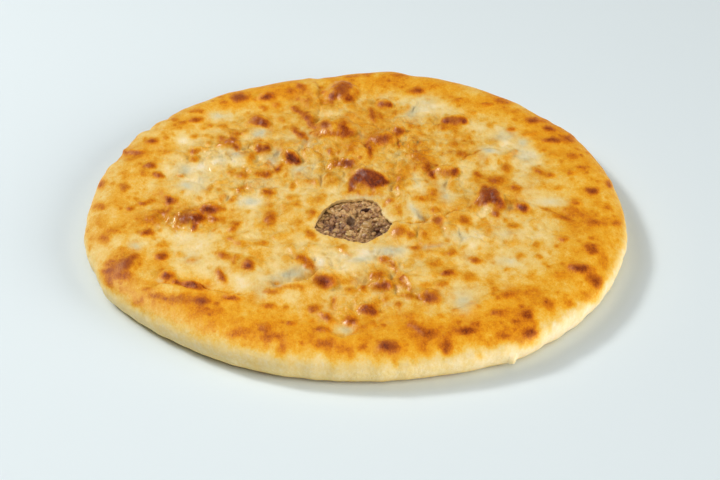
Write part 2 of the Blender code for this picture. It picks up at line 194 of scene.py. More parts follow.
# =====================================================================================
# Features of the baked lid, placed on the level REF_Z as the camera sees it (mm).
# =====================================================================================
# Browned spots: x, y, half width, half height, turn (degrees), depth of browning (0-1)
SPOTS = (
    # far left
    (-134.3, 66.7, 4.0, 4.0, 0, .85), (-107.9, 95.0, 4.6, 3.4, 10, .85), (-115.8, 91.0, 3.2, 2.4, 30, .62),
    (-109.5, 107.3, 5.5, 2.8, 10, .62), (-97.5, 87.5, 2.2, 2.4, 0, .62), (-89.6, 86.7, 3.2, 2.6, 0, .52),
    (-106.9, 73.3, 2.8, 2.4, 0, .62), (-99.6, 74.2, 2.2, 1.8, 0, .48), (-80.8, 126.0, 6.5, 6.5, 60, .80),
    (-62.0, 127.0, 4.0, 5.0, -20, .90), (-63.8, 111.7, 2.8, 3.4, 30, .60), (-66.5, 93.5, 6.0, 4.6, -20, .80),
    (-61.2, 89.0, 3.4, 4.5, 0, .90), (-89.0, 70.8, 3.4, 4.0, 0, .62), (-82.0, 69.2, 2.8, 3.2, 0, .72),
    (-78.3, 75.8, 3.0, 2.0, -30, .60), (-126.3, 71.7, 2.2, 2.8, 0, .52), (-90.8, 118.8, 3.0, 2.4, 0, .55),
    (-84.0, 64.5, 3.5, 3.5, 0, .60), (-122.0, 96.0, 3.0, 2.5, 30, .50),
    # far middle
    (-39.6, 142.0, 3.4, 5.0, 25, .76), (-45.8, 135.8, 3.4, 3.4, 0, .58), (-11.0, 138.5, 6.5, 9.5, -20, .80),
    (-17.2, 126.7, 3.6, 4.4, 0, .90), (-5.8, 125.0, 4.6, 5.5, 0, .82), (0.0, 133.0, 2.6, 4.0, 0, .66),
    (-23.3, 134.0, 3.0, 2.6, 0, .60), (41.3, 135.2, 5.0, 5.2, -50, .86), (18.0, 116.0, 4.6, 4.0, 0, .76),
    (21.5, 115.0, 2.6, 3.0, 0, .90), (-54.6, 115.8, 3.2, 3.6, 0, .62), (-41.3, 109.0, 3.4, 4.6, 30, .78),
    (-34.5, 98.5, 3.2, 6.5, 25, .66), (-30.5, 89.0, 2.8, 6.0, 20, .68), (-50.5, 96.0, 2.4, 4.2, 10, .60),
    (-40.0, 78.5, 3.0, 6.0, 30, .74), (-36.5, 73.5, 3.0, 3.5, 30, .62), (-35.0, 121.7, 3.2, 2.6, 0, .52),
    (10.4, 98.5, 3.0, 7.0, 8, .74), (15.4, 100.0, 2.0, 5.2, 12, .62), (9.2, 109.0, 2.8, 3.2, 20, .56),
    (24.6, 102.5, 2.2, 4.6, -25, .52), (-22.0, 88.5, 4.4, 4.6, -20, .68), (-9.6, 84.8, 2.8, 3.4, 30, .82),
    (-15.0, 76.2, 4.6, 4.4, 0, .68), (-7.0, 76.5, 5.2, 4.2, -30, .78), (-12.0, 91.0, 6.5, 1.8, 8, .48),
    (27.2, 80.0, 3.6, 4.2, 0, .84), (34.8, 86.7, 2.6, 3.2, 20, .58), (16.3, 69.6, 6.8, 5.6, 0, .78),
    (42.5, 75.8, 2.8, 3.6, 30, .50), (57.5, 83.3, 4.2, 3.0, 0, .56), (33.5, 112.0, 2.4, 4.4, 0, .46),
    (-4.5, 113.0, 3.0, 2.4, 0, .40), (-19.5, 120.0, 3.0, 2.4, 0, .48), (52.0, 141.0, 6.0, 3.5, 0, .40),
    (-3.0, 157.0, 5.0, 2.0, 10, .55), (8.0, 160.0, 4.0, 2.0, 0, .60), (28.0, 158.0, 4.0, 3.0, -30, .55),
    # far right
    (88.0, 115.8, 3.4, 2.8, 0, .66), (67.5, 120.8, 4.2, 2.8, -20, .50), (98.3, 120.8, 5.5, 3.6, -30, .62),
    (65.0, 94.4, 6.8, 5.2, 10, .78), (71.0, 93.0, 2.8, 4.2, 0, .90), (58.5, 93.0, 3.2, 3.6, 0, .84),
    (101.7, 81.8, 3.8, 2.2, 0, .72), (116.7, 93.3, 5.4, 5.0, 20, .80), (126.3, 82.5, 3.6, 3.8, 0, .86),
    (128.3, 67.5, 9.5, 3.4, -8, .80), (138.0, 70.8, 3.8, 4.2, 0, .72), (88.0, 87.5, 2.2, 2.8, 20, .46),
    (64.0, 80.8, 2.4, 3.8, 0, .54), (72.5, 73.3, 3.0, 3.0, 0, .52), (62.5, 62.5, 3.4, 3.8, 0, .64),
    (77.0, 105.0, 3.0, 2.6, 0, .52), (87.5, 65.8, 5.5, 5.0, 0, .42), (104.0, 106.0, 5.0, 4.0, 0, .40),
    (131.0, 92.0, 3.0, 5.0, 40, .60), (113.0, 76.0, 4.0, 3.0, 0, .50),
    # left
    (-131.7, 35.8, 4.0, 3.8, 0, .78), (-125.4, 24.2, 3.0, 3.6, 20, .76), (-135.0, 26.7, 3.0, 5.0, 10, .52),
    (-145.4, 9.6, 3.4, 5.8, 0, .66), (-139.0, 49.0, 6.0, 4.6, 20, .58), (-146.0, 43.5, 4.0, 3.6, 0, .52),
    (-105.0, 54.2, 3.8, 2.8, 15, .76), (-104.6, 43.8, 3.6, 3.0, 0, .66), (-111.0, 23.4, 2.8, 1.7, -35, .70),
    (-123.0, 53.0, 3.2, 2.6, 0, .48), (-78.3, 58.2, 2.8, 3.6, 0, .82), (-68.3, 46.0, 2.8, 4.2, 0, .70),
    (-63.0, 56.8, 3.8, 4.6, 0, .80), (-58.4, 57.5, 2.4, 3.6, 0, .82), (-80.8, 29.0, 2.8, 3.4, 0, .56),
    (-72.5, 24.2, 4.4, 4.0, 0, .62), (-92.0, 8.5, 2.6, 3.0, 0, .58), (-73.3, 6.8, 2.0, 2.8, 0, .62),
    (-61.0, 26.2, 3.6, 3.2, 0, .70), (-161.5, 13.5, 4.6, 6.0, 0, .72), (-147.0, 52.5, 11.0, 2.4, 3, .66), (-157.0, 46.0, 4.0, 3.0, 30, .56), (-158.0, -12.0, 5.0, 4.4, 0, .66),
    (-154.6, -30.0, 4.0, 6.5, 0, .48), (-115.8, -5.6, 3.8, 4.6, 15, .86), (-131.7, -9.2, 3.4, 2.8, 0, .76),
    (-126.7, -5.8, 3.6, 2.4, 0, .60), (-138.8, -14.6, 2.6, 3.0, 0, .74), (-118.3, -18.6, 3.4, 2.8, 0, .66),
    (-114.0, -14.8, 2.2, 2.2, 0, .50), (-125.0, -28.8, 6.0, 4.6, 0, .60), (-125.6, -41.8, 4.4, 3.8, 0, .86),
    (-90.4, -16.0, 7.4, 4.4, 0, .92), (-96.5, -25.6, 4.6, 4.0, 0, .98), (-98.0, -35.0, 2.6, 4.4, 0, .82),
    (-104.5, -26.0, 5.0, 6.0, 0, .74), (-86.5, -26.8, 5.2, 2.0, 0, .70), (-150.0, -48.0, 4.0, 5.0, 0, .64),
    (-146.7, -39.0, 6.0, 3.6, 0, .50), (-74.2, -36.8, 2.4, 3.4, -20, .62), (-72.0, -31.5, 2.0, 2.6, -20, .60),
    (-75.8, -2.5, 2.6, 4.4, 0, .54), (-83.0, -1.0, 2.8, 2.4, 0, .50), (-69.0, -52.5, 4.4, 3.2, -20, .54),
    (-76.0, -47.5, 3.4, 2.4, 0, .48), (-115.0, -54.0, 4.6, 3.2, 0, .50), (-147.0, 30.0, 4.0, 7.0, 0, .46),
    (-108.0, -38.0, 2.6, 3.0, 0, .40), (-121.0, 6.0, 4.0, 5.0, 0, .40),
    # middle
    (-42.8, 46.6, 4.4, 6.8, 18, 1.0), (-40.4, 40.8, 3.4, 3.0, 0, .96), (-50.0, 32.4, 2.6, 5.0, -20, .76),
    (-57.0, 24.2, 3.2, 3.2, 0, .68), (-56.4, 5.0, 4.2, 3.6, 0, .78), (-52.5, 3.5, 2.5, 2.0, 40, .62),
    (-40.8, 10.2, 1.8, 3.8, 0, .62), (-29.0, 16.4, 5.0, 3.4, -20, .56), (-15.0, 18.0, 2.6, 4.0, 0, .50),
    (-7.0, 38.6, 5.4, 5.0, 0, .84), (-52.5, -25.8, 3.6, 6.4, 0, .72), (-36.7, -10.0, 2.6, 4.0, 10, .52),
    (-40.0, -1.5, 3.0, 2.6, 0, .50), (-28.0, -20.0, 1.8, 4.2, 10, .42), (25.6, -39.4, 4.8, 5.6, -20, .74),
    (31.6, -43.6, 3.0, 3.4, 0, .72), (20.0, -5.8, 3.2, 2.4, -30, .56), (39.0, -3.4, 5.8, 3.2, 0, .60),
    (47.5, 2.6, 3.2, 4.4, 0, .68), (47.5, -16.8, 3.6, 2.8, 0, .60), (48.3, -28.4, 4.0, 3.8, 0, .76),
    (46.6, 24.4, 2.2, 4.2, 20, .84), (56.5, 26.8, 5.6, 4.4, 0, .60), (61.7, 28.4, 2.8, 4.8, 0, .86),
    (43.3, 31.0, 2.4, 3.4, 30, .66), (41.7, 46.0, 5.5, 8.0, 0, .56), (29.0, 27.5, 6.5, 7.0, 0, .48),
    (8.0, 53.6, 2.0, 7.0, 0, .74), (-17.5, 52.5, 2.6, 5.0, 10, .60), (-6.0, 56.0, 4.0, 3.0, 0, .44),
    (26.7, 17.4, 2.4, 3.4, 0, .52), (40.0, -43.8, 2.6, 2.6, 0, .52), (-57.5, -52.6, 4.0, 2.6, 0, .60),
    (33.0, -58.0, 4.2, 2.4, 0, .72), (-9.0, -57.2, 3.6, 2.8, -20, .55), (-28.2, -43.6, 2.4, 4.2, 25, .42),
    (30.0, 60.0, 4.0, 3.0, 0, .42), (-3.0, 62.0, 3.0, 4.0, 0, .44), (-25.0, 30.0, 3.0, 3.0, 0, .36),
    (-27.5, -20.6, 2.6, 3.4, 0, .50), (-28.1, -43.7, 2.8, 3.4, 0, .52), (-23.2, -4.7, 3.4, 4.0, 0, .52), (20.5, -6.0, 3.0, 1.8, -30, .56),
    (25.4, -17.0, 2.2, 5.0, 10, .50), (24.5, 9.0, 1.6, 2.2, 0, .56), (31.0, 13.0, 2.0, 2.0, 0, .40), (9.0, -8.0, 4.0, 2.0, 0, .30),
    # right
    (81.4, 3.4, 5.8, 5.6, 0, .84), (85.6, -6.0, 3.4, 8.0, 5, .80), (75.0, -8.5, 2.4, 5.5, -10, .72), (84.0, -19.5, 2.6, 4.2, 0, .72),
    (78.5, 9.0, 3.0, 3.0, 0, .60), (89.0, -12.0, 2.4, 5.0, 0, .62),
    (67.0, 50.2, 4.0, 3.8, 0, .62), (94.6, 32.6, 3.6, 4.2, 0, .68), (75.8, 25.2, 3.2, 3.8, 20, .68),
    (73.8, 17.4, 4.0, 2.6, 0, .52), (88.3, 17.4, 6.4, 3.8, -10, .72), (98.8, 8.8, 3.6, 3.0, 0, .72),
    (101.0, -14.0, 3.8, 4.4, 0, .92), (115.0, 29.0, 3.2, 4.8, 30, .72), (121.5, 23.4, 3.0, 3.0, 0, .62),
    (135.4, 27.0, 3.2, 3.0, 0, .56), (142.5, 32.6, 4.0, 2.8, 0, .60), (145.8, 5.2, 4.4, 4.2, 0, .87),
    (157.0, 12.6, 2.4, 4.8, 0, .74), (133.8, -8.4, 3.8, 3.8, 0, .72), (130.8, -15.8, 4.6, 3.0, 0, .60),
    (115.4, -16.0, 3.4, 2.0, 0, .60), (125.0, -26.6, 6.0, 2.0, -32, .66), (125.0, 9.0, 3.4, 3.0, -30, .50),
    (64.6, -28.4, 4.2, 4.2, 0, .76), (75.8, -32.5, 3.4, 3.0, 0, .50), (94.6, -34.2, 4.0, 2.8, 0, .60),
    (78.0, -40.0, 3.0, 3.0, 0, .48), (122.0, -49.0, 3.2, 3.4, 0, .68), (105.4, -55.2, 2.8, 2.6, 0, .60),
    (155.4, -31.0, 2.8, 3.4, 0, .70), (142.5, -31.0, 6.5, 3.6, 0, .64), (136.7, -57.4, 4.2, 3.8, 0, .76),
    (152.5, -13.2, 2.6, 3.0, 0, .56), (138.0, 47.6, 4.0, 3.2, -30, .60), (125.0, 48.0, 4.0, 3.6, 0, .42),
    (96.7, 46.6, 5.2, 4.2, 0, .42), (101.7, 52.6, 4.0, 2.8, 0, .48), (79.0, 34.0, 2.5, 2.0, 0, .40),
    (133.0, -22.0, 9.0, 4.0, -15, .52), (120.0, 57.0, 5.0, 4.0, 0, .40), (107.0, 41.0, 2.4, 2.4, 0, .42),
    # near left
    (-133.6, -73.2, 4.4, 7.2, -28, .80), (-143.0, -80.8, 4.0, 3.6, 0, .78), (-135.0, -86.6, 6.6, 4.4, 0, .74),
    (-142.0, -93.0, 2.8, 8.0, 20, .66), (-130.0, -66.4, 3.4, 3.0, 0, .62), (-144.0, -73.0, 4.0, 4.0, 0, .58),
    (-114.0, -66.3, 4.4, 3.8, 0, .86), (-108.6, -86.4, 4.4, 4.8, 40, .92), (-102.5, -93.0, 3.6, 2.0, -15, .80),
    (-93.3, -95.9, 6.0, 3.2, -30, .92), (-79.0, -65.0, 3.4, 4.8, 35, .76), (-63.3, -75.2, 3.8, 4.4, 0, .92),
    (-77.8, -86.6, 2.8, 6.2, 18, .82), (-96.7, -70.6, 3.0, 2.4, 20, .54), (-103.8, -64.0, 2.8, 2.4, 0, .50),
    (-70.8, -67.4, 4.2, 2.6, 20, .52), (-114.0, -106.0, 4.4, 3.4, 0, .58), (-101.7, -109.4, 8.5, 5.0, -10, .58),
    (-88.3, -110.8, 6.0, 4.2, -15, .74), (-70.4, -109.0, 5.0, 2.0, -22, .80), (-124.0, -113.2, 3.6, 3.4, 0, .55),
    (-120.0, -100.0, 4.0, 2.0, 0, .50), (-65.0, -141.0, 7.0, 4.4, 0, .56), (-84.0, -121.0, 9.0, 5.0, 0, .45),
    (-136.0, -59.0, 5.0, 4.0, 0, .48), (-118.0, -93.0, 4.0, 2.4, 0, .42), (-132.0, -52.0, 3.0, 3.0, 0, .40),
    # near middle
    (-29.4, -73.4, 3.4, 7.0, 35, .74), (-33.0, -69.0, 3.2, 3.6, 0, .56), (-18.8, -91.6, 5.6, 5.6, 0, .86),
    (10.8, -85.8, 3.8, 3.2, 0, .66), (14.2, -95.8, 6.2, 3.8, 28, .86), (14.6, -69.2, 3.8, 3.0, -10, .70),
    (-6.7, -63.4, 4.6, 2.2, -30, .56), (20.2, -75.6, 2.4, 4.6, 20, .62), (52.5, -84.0, 4.8, 3.0, 8, .82),
    (41.3, -107.6, 4.8, 5.4, 0, .80), (27.5, -106.8, 5.4, 2.6, -20, .66), (5.8, -118.6, 4.8, 4.2, -30, .88),
    (9.0, -123.0, 3.0, 3.0, 0, .72), (-3.3, -129.2, 3.8, 3.8, 0, .82), (-16.4, -127.4, 3.2, 4.6, 32, .82),
    (-24.6, -118.6, 3.8, 3.4, -30, .72), (-49.0, -116.6, 5.6, 2.8, -10, .60), (-49.0, -101.8, 5.0, 2.4, -10, .60),
    (-36.7, -131.7, 3.2, 2.4, 0, .66), (-50.8, -135.0, 3.2, 4.2, 0, .62), (-46.7, -144.0, 5.4, 4.0, 0, .58),
    (-19.0, -150.2, 6.0, 4.0, 0, .72), (-40.8, -155.0, 2.6, 4.6, 0, .56), (2.6, -152.8, 3.2, 4.0, 0, .66),
    (16.7, -153.2, 5.4, 6.2, 0, .90), (-3.3, -160.0, 2.6, 6.5, 8, .60), (38.3, -140.8, 5.0, 4.4, -20, .82),
    (34.0, -136.5, 3.0, 2.6, -30, .62), (30.0, -133.2, 3.2, 2.6, -20, .62), (48.3, -153.2, 3.8, 7.0, 0, .80),
    (57.5, -138.8, 5.0, 3.6, 0, .78), (48.6, -144.0, 3.0, 4.0, 0, .62), (35.4, -155.0, 2.8, 7.0, 8, .58),
    (20.0, -168.0, 1.8, 5.0, 0, .46), (48.0, -94.6, 3.4, 2.4, 20, .60), (38.6, -96.0, 4.2, 2.0, 30, .52),
    (46.7, -73.0, 2.8, 3.0, 0, .56), (54.0, -63.0, 4.0, 3.2, 0, .60), (22.5, -114.0, 2.4, 2.4, 0, .56),
    (-38.0, -97.2, 6.6, 2.4, 10, .56), (-19.0, -138.0, 3.8, 2.2, -30, .62), (6.7, -134.0, 5.4, 2.8, 15, .50),
    (-6.0, -92.0, 4.0, 3.0, 0, .42), (-4.0, -101.0, 3.0, 3.0, 0, .44), (35.0, -66.0, 3.4, 3.4, 0, .48),
    (-52.0, -84.0, 3.0, 2.0, 0, .36), (-9.0, -155.0, 4.0, 4.0, 0, .52), (27.0, -125.0, 8.0, 3.0, 10, .40),
    (-44.0, -78.0, 2.4, 2.0, 0, .36), (-57.0, -66.0, 2.5, 2.5, 0, .38),
    # near right
    (68.3, -70.8, 4.8, 2.8, -42, .78), (95.8, -65.8, 3.2, 2.2, 0, .56), (105.8, -67.2, 2.6, 2.2, 0, .58),
    (76.7, -66.7, 3.0, 2.6, 0, .42), (86.7, -80.4, 2.2, 1.4, 0, .60), (64.0, -88.0, 4.4, 4.0, 0, .62),
    (128.3, -79.0, 6.8, 4.6, 0, .92), (135.4, -90.6, 4.6, 7.4, 12, .86), (76.7, -99.0, 2.6, 5.0, 0, .54),
    (85.0, -105.0, 6.0, 3.8, 20, .60), (78.0, -122.4, 4.4, 3.0, 0, .70), (93.8, -124.6, 3.4, 4.2, 0, .84),
    (93.6, -141.0, 4.2, 5.2, 0, .86), (78.0, -143.4, 3.8, 4.0, 0, .72), (65.0, -132.4, 3.0, 2.8, 0, .60),
    (61.7, -139.0, 4.4, 3.4, 0, .76), (65.0, -162.4, 2.2, 4.8, 0, .46), (105.8, -138.0, 1.8, 7.0, 0, .30),
    (108.0, -114.0, 4.0, 5.0, 0, .56), (118.0, -115.0, 2.6, 3.4, 0, .56), (129.0, -108.0, 4.4, 5.0, 0, .50),
    (138.0, -62.0, 2.8, 3.8, 0, .82), (86.0, -147.0, 5.0, 4.0, 0, .42), (96.0, -152.0, 3.0, 4.0, 0, .30),
    (72.0, -150.0, 5.0, 4.0, 0, .50), (116.0, -86.0, 5.0, 4.0, 0, .46), (143.0, -70.0, 3.0, 8.0, 0, .52),
)

# Wide areas: x, y, half width, half height, turn, added browning (minus is paler)
WASHES = (
    (-92, 99, 11, 8, 0, -.20), (-114, 70, 7, 9, 0, -.16), (-65, 77, 6, 7, 0, -.20), (-104, 25, 17, 22, 0, -.18),
    (-86, 44, 12, 9, 0, -.16), (-128, 14, 8, 7, 0, -.06), (-66, -7, 9, 6, 0, -.20), (-84, -6, 7, 8, 0, -.16),
    (-132, -56, 7, 7, 0, -.14), (-108, -44, 16, 8, 0, -.14), (-94, -58, 18, 9, 0, -.14), (-92, -80, 13, 10, 0, -.16),
    (-68, -92, 12, 8, 0, -.16), (-44, -80, 15, 8, 20, -.20), (35, 122, 14, 13, 0, -.13), (48, 108, 12, 12, 0, -.18),
    (84, 80, 14, 12, 0, -.16), (107, 58, 12, 15, 0, -.20), (110, 42, 9, 11, 0, -.20), (88, 54, 9, 6, 0, -.10),
    (118, -7, 11, 6, 0, -.18), (104, -44, 18, 9, 0, -.15), (68, -50, 12, 9, 0, -.16), (96, -27, 7, 6, 0, -.12),
    (90, -72, 18, 12, 0, -.14), (60, -110, 8, 11, 0, -.16), (0, -66, 26, 9, 0, -.18), (-20, -60, 20, 10, 0, -.06),
    (36, 13, 9, 9, 0, -.12), (68, 5, 9, 14, 0, -.10), (20, -62, 10, 6, 0, -.12), (-7, -140, 5, 5, 0, -.20),
    (-32, 38, 10, 10, 0, -.13), (-22, 5, 14, 6, 0, -.10), (28, -15, 7, 14, 20, -.14), (-45, -5, 10, 12, 0, -.06),
    (-15, 108, 10, 14, 0, -.07), (6, 100, 7, 9, 0, -.05), (-30, -48, 16, 8, -20, -.07), (60, 30, 7, 6, 0, -.06),
    (36, 45, 8, 12, 0, .05), (-110, -10, 16, 10, 0, .05), (-120, -25, 16, 12, 0, .08), (106, -90, 18, 13, 0, .10),
    (108, -112, 20, 12, 0, .09), (92, -135, 14, 14, 0, .10), (128, -40, 16, 12, 0, .12), (145, -45, 10, 22, 0, .14),
    (-90, -112, 26, 9, -8, .06), (-60, -125, 26, 16, -8, .03), (-42, -142, 24, 12, -5, .08), (0, -148, 26, 9, 0, .08),
    (40, -145, 24, 12, 0, .10), (70, -130, 18, 12, 0, .06), (-52, 135, 16, 14, 0, .07), (-40, 125, 10, 14, 0, .05),
    (-137, -80, 12, 20, 0, .08), (14, 70, 12, 12, 0, .07), (-12, 80, 12, 12, 0, .06), (26, 35, 14, 12, 0, .08),
    (-52, -24, 12, 14, 0, .06), (78, -8, 14, 14, 0, .03), (130, 85, 14, 18, 30, .10), (14, 152, 26, 9, 0, .09),
    # on the next line, the pale wash at (-20.4, -73) is a painted highlight on the small blister there
    (-162, -5, 9, 34, 0, -.12), (158, 2, 9, 34, 0, -.07), (-150, -58, 10, 14, 0, -.07), (6, 76, 44, 36, 0, .09), (-16, 112, 30, 18, 0, .05), (-20.4, -73, 5, 6, 0, -.20), (-11, -80, 6, 5, 0, -.12), (24, -106, 12, 12, 0, .08), (23.5, -15.5, 3.0, 9.0, -8, .15), (-17, -51, 13, 5, -14, .07), (-19, -55, 10, 7, -10, .10), (-104, -30, 12, 8, 0, -.04), (-122, -90, 26, 16, 0, -.06), (-148, 40, 16, 30, 0, -.03), (150, -42, 15, 24, 0, -.06), (-148, -10, 14, 40, 0, -.025), (22, -84, 8, 12, 0, .06), (46, -122, 22, 10, 0, .04),
    (-76, -133, 14, 10, 0, .13), (-47, -152, 15, 8, 0, .12), (50, -152, 16, 8, 0, .08), (78, -138, 14, 9, 0, .05), (123, -101, 9, 9, 0, -.08),
    (153, -11, 7, 12, 0, .05), (147, 24, 9, 12, 0, .08), (131, 55, 12, 10, 0, .05), (108, 94, 12, 9, 0, -.03), (77, 122, 14, 9, 0, .05),
    (43, 144, 14, 8, 0, .05), (-105, -110, 12, 9, 0, -.03), (-93, 108, 12, 9, 0, -.06), (-146, 43, 9, 12, 0, -.04), (-155, 12, 8, 12, 0, .05),
)

# Thin translucent dough, greyish green: x, y, half width, half height, turn, strength
THIN = (
    (-93, 100, 6, 5, 0, .5), (-65, 76, 4, 5, -30, .9), (-110, 31, 4, 7, 10, .7), (-106, 12, 5, 4, 0, .8),
    (-88, 43, 4, 6, 20, .6), (-79, 50, 5, 4, 0, .6), (-66, -7, 5.5, 4, 0, .9), (-131, -56, 3, 4, 0, .8),
    (-98, 20, 4, 12, 0, .4), (-39, -85, 12, 4.5, 28, .8), (37, 106, 3, 8, -25, .8), (96, 73, 6, 5, 30, .7),
    (107, 50, 6, 12, 10, .55), (107, 64, 4, 5, 0, .6), (86, 54, 6, 2.4, -25, .7), (119, -8, 8, 4, 0, .4),
    (18, -62, 9, 4.5, 14, .95), (43, -56.5, 9, 2.4, 14, .42), (3, -69, 7, 3, 0, .6), (-6, -67, 5, 3, 0, .4), (59, -112, 5, 9, 0, .6), (86, -72, 7, 4, 0, .4),
    (-7, -138, 5, 4, 0, .5), (-36, 30, 5, 7, 0, .5), (-55, 40, 3, 7, 20, .7), (-52, 52, 2.4, 6, 0, .6), (54, 0, 3, 9, 10, .5),
    (88, -44, 8, 4, 0, .3), (-33, 68, 3, 8, 0, .5), (-87, -98, 3, 2, 0, .4), (62, -45, 6, 4, 0, .5), (-46, -96, 4, 2, 0, .6),
    (46, 118, 7, 10, 0, .3), (-95, -72, 5, 3, 0, .3), (2, -2, 10, 2.5, 0, .5), (-113, -92, 3, 2, 0, .3), (36, -20, 2, 9, 20, .6),
)

# Steam blisters: x, y, half width, half height, turn, height, steepness
BLISTERS = (
    (6.4, 16.0, 18.0, 18.0, -8, 1.2, 0.3), (80.5, -7.0, 13.0, 18.0, 10, 1.0, 0.3), (-43.0, 46.0, 6.0, 9.0, 18, 2.6, 0.8),
    (-12.0, 134.0, 12.0, 15.0, -12, 2.6, 0.5), (-90.5, -17.0, 9.0, 6.0, 0, 2.0, 0.7), (-101.0, -28.0, 9.0, 9.0, 0, 2.3, 0.7),
    (-14.0, 84.0, 15.0, 13.0, 0, 3.2, 0.6), (16.5, 69.0, 9.5, 8.5, 0, 2.6, 0.7), (-5.0, 38.5, 6.5, 6.0, 0, 1.9, 0.8),
    (25.8, -40.0, 8.0, 8.0, -20, 1.8, 0.6), (-19.5, -92.0, 7.0, 7.0, 0, 2.2, 0.8), (14.0, -95.5, 8.0, 5.5, 28, 1.9, 0.7),
    (65.5, 94.0, 8.5, 7.0, 8, 2.0, 0.7), (-65.0, 92.0, 8.0, 7.0, -15, 1.8, 0.7), (-134.0, -74.0, 7.0, 10.0, -28, 1.2, 0.5),
    (55.0, 27.0, 8.5, 6.5, 0, 1.8, 0.7), (27.0, 80.0, 5.5, 5.5, 0, 1.6, 0.7), (41.5, -107.5, 6.0, 7.0, 0, 1.5, 0.7),
    (-61.0, 57.0, 6.0, 6.0, 0, 1.6, 0.7), (48.5, -28.5, 6.0, 5.5, 0, 1.4, 0.6), (16.8, -153.0, 7.5, 7.5, 0, 1.0, 0.5),
    (18.5, 116.0, 6.5, 5.5, 0, 1.5, 0.6), (-63.0, 126.5, 6.0, 6.5, 0, 1.3, 0.6), (5.5, -119.0, 6.5, 5.5, 0, 1.1, 0.6),
    (101.0, -14.0, 5.5, 6.0, 0, 1.2, 0.6), (128.0, -79.5, 8.0, 6.0, 0, 0.9, 0.5), (-93.0, -95.8, 7.0, 4.4, -30, 1.3, 0.6),
    (-108.6, -86.5, 5.6, 5.8, 0, 1.3, 0.6), (34.0, -6.0, 12.0, 9.0, 0, 1.2, 0.5), (36.0, 10.0, 13.0, 11.0, 0, 1.4, 0.4),
    (88.0, 50.0, 13.0, 12.0, 0, 1.1, 0.6), (-12.0, 108.0, 13.0, 18.0, 0, 1.8, 0.4), (-3.0, 56.0, 12.0, 10.0, 0, 1.5, 0.4),
    (-78.0, 64.0, 9.0, 7.0, 20, 1.3, 0.5), (-24.0, 60.0, 9.0, 12.0, 0, 1.5, 0.4), (52.0, -10.0, 8.0, 8.0, 0, 0.9, 0.4),
    (-116.0, 8.0, 12.0, 14.0, 0, 0.8, 0.3), (-5.0, -76.0, 13.0, 7.0, 0, 1.1, 0.4), (34.0, -90.0, 10.0, 14.0, -20, 1.2, 0.5),
    (-74.0, 40.0, 8.0, 8.0, 0, 1.3, 0.5), (40.0, 40.0, 9.0, 14.0, 0, 1.2, 0.5), (-30.0, -60.0, 12.0, 8.0, 0, 0.8, 0.3), (-20.4, -73.0, 4.6, 5.4, 0, 1.5, 0.7),
)

# The two biggest blisters: x, y, reach left, right, to the front and to the back, height
GREAT = (
    (4.8, 19.4, 11.6, 14.6, 14.5, 9.0, 6.2), (81.4, -4.6, 8.2, 8.6, 16.0, 8.0, 3.6),
)

# Brown crown of the great blister as the camera sees it, and the orange below it
CROWN = (
    (-7.0, 4.0), (-6.0, 17.5), (-3.0, 26.4), (1.0, 31.6), (4.7, 33.4), (9.8, 31.4), (15.2, 24.2), (20.4, 17.2), (19.8, 14.0), (15.6, 10.2),
    (9.8, 7.6), (6.4, 10.0), (3.6, 14.6), (-0.4, 15.0), (-2.6, 9.0), (-2.4, 4.6), (-4.4, 3.0),
)
CROWN_RIGHT = (
    (73.2, -9.0), (75.0, -1.0), (78.6, 5.4), (82.3, 8.0), (86.6, 4.4), (90.2, -4.0), (90.4, -11.0), (88.0, -19.0), (85.2, -17.0), (84.0, -11.0),
    (80.0, -9.0), (76.4, -12.4),
)
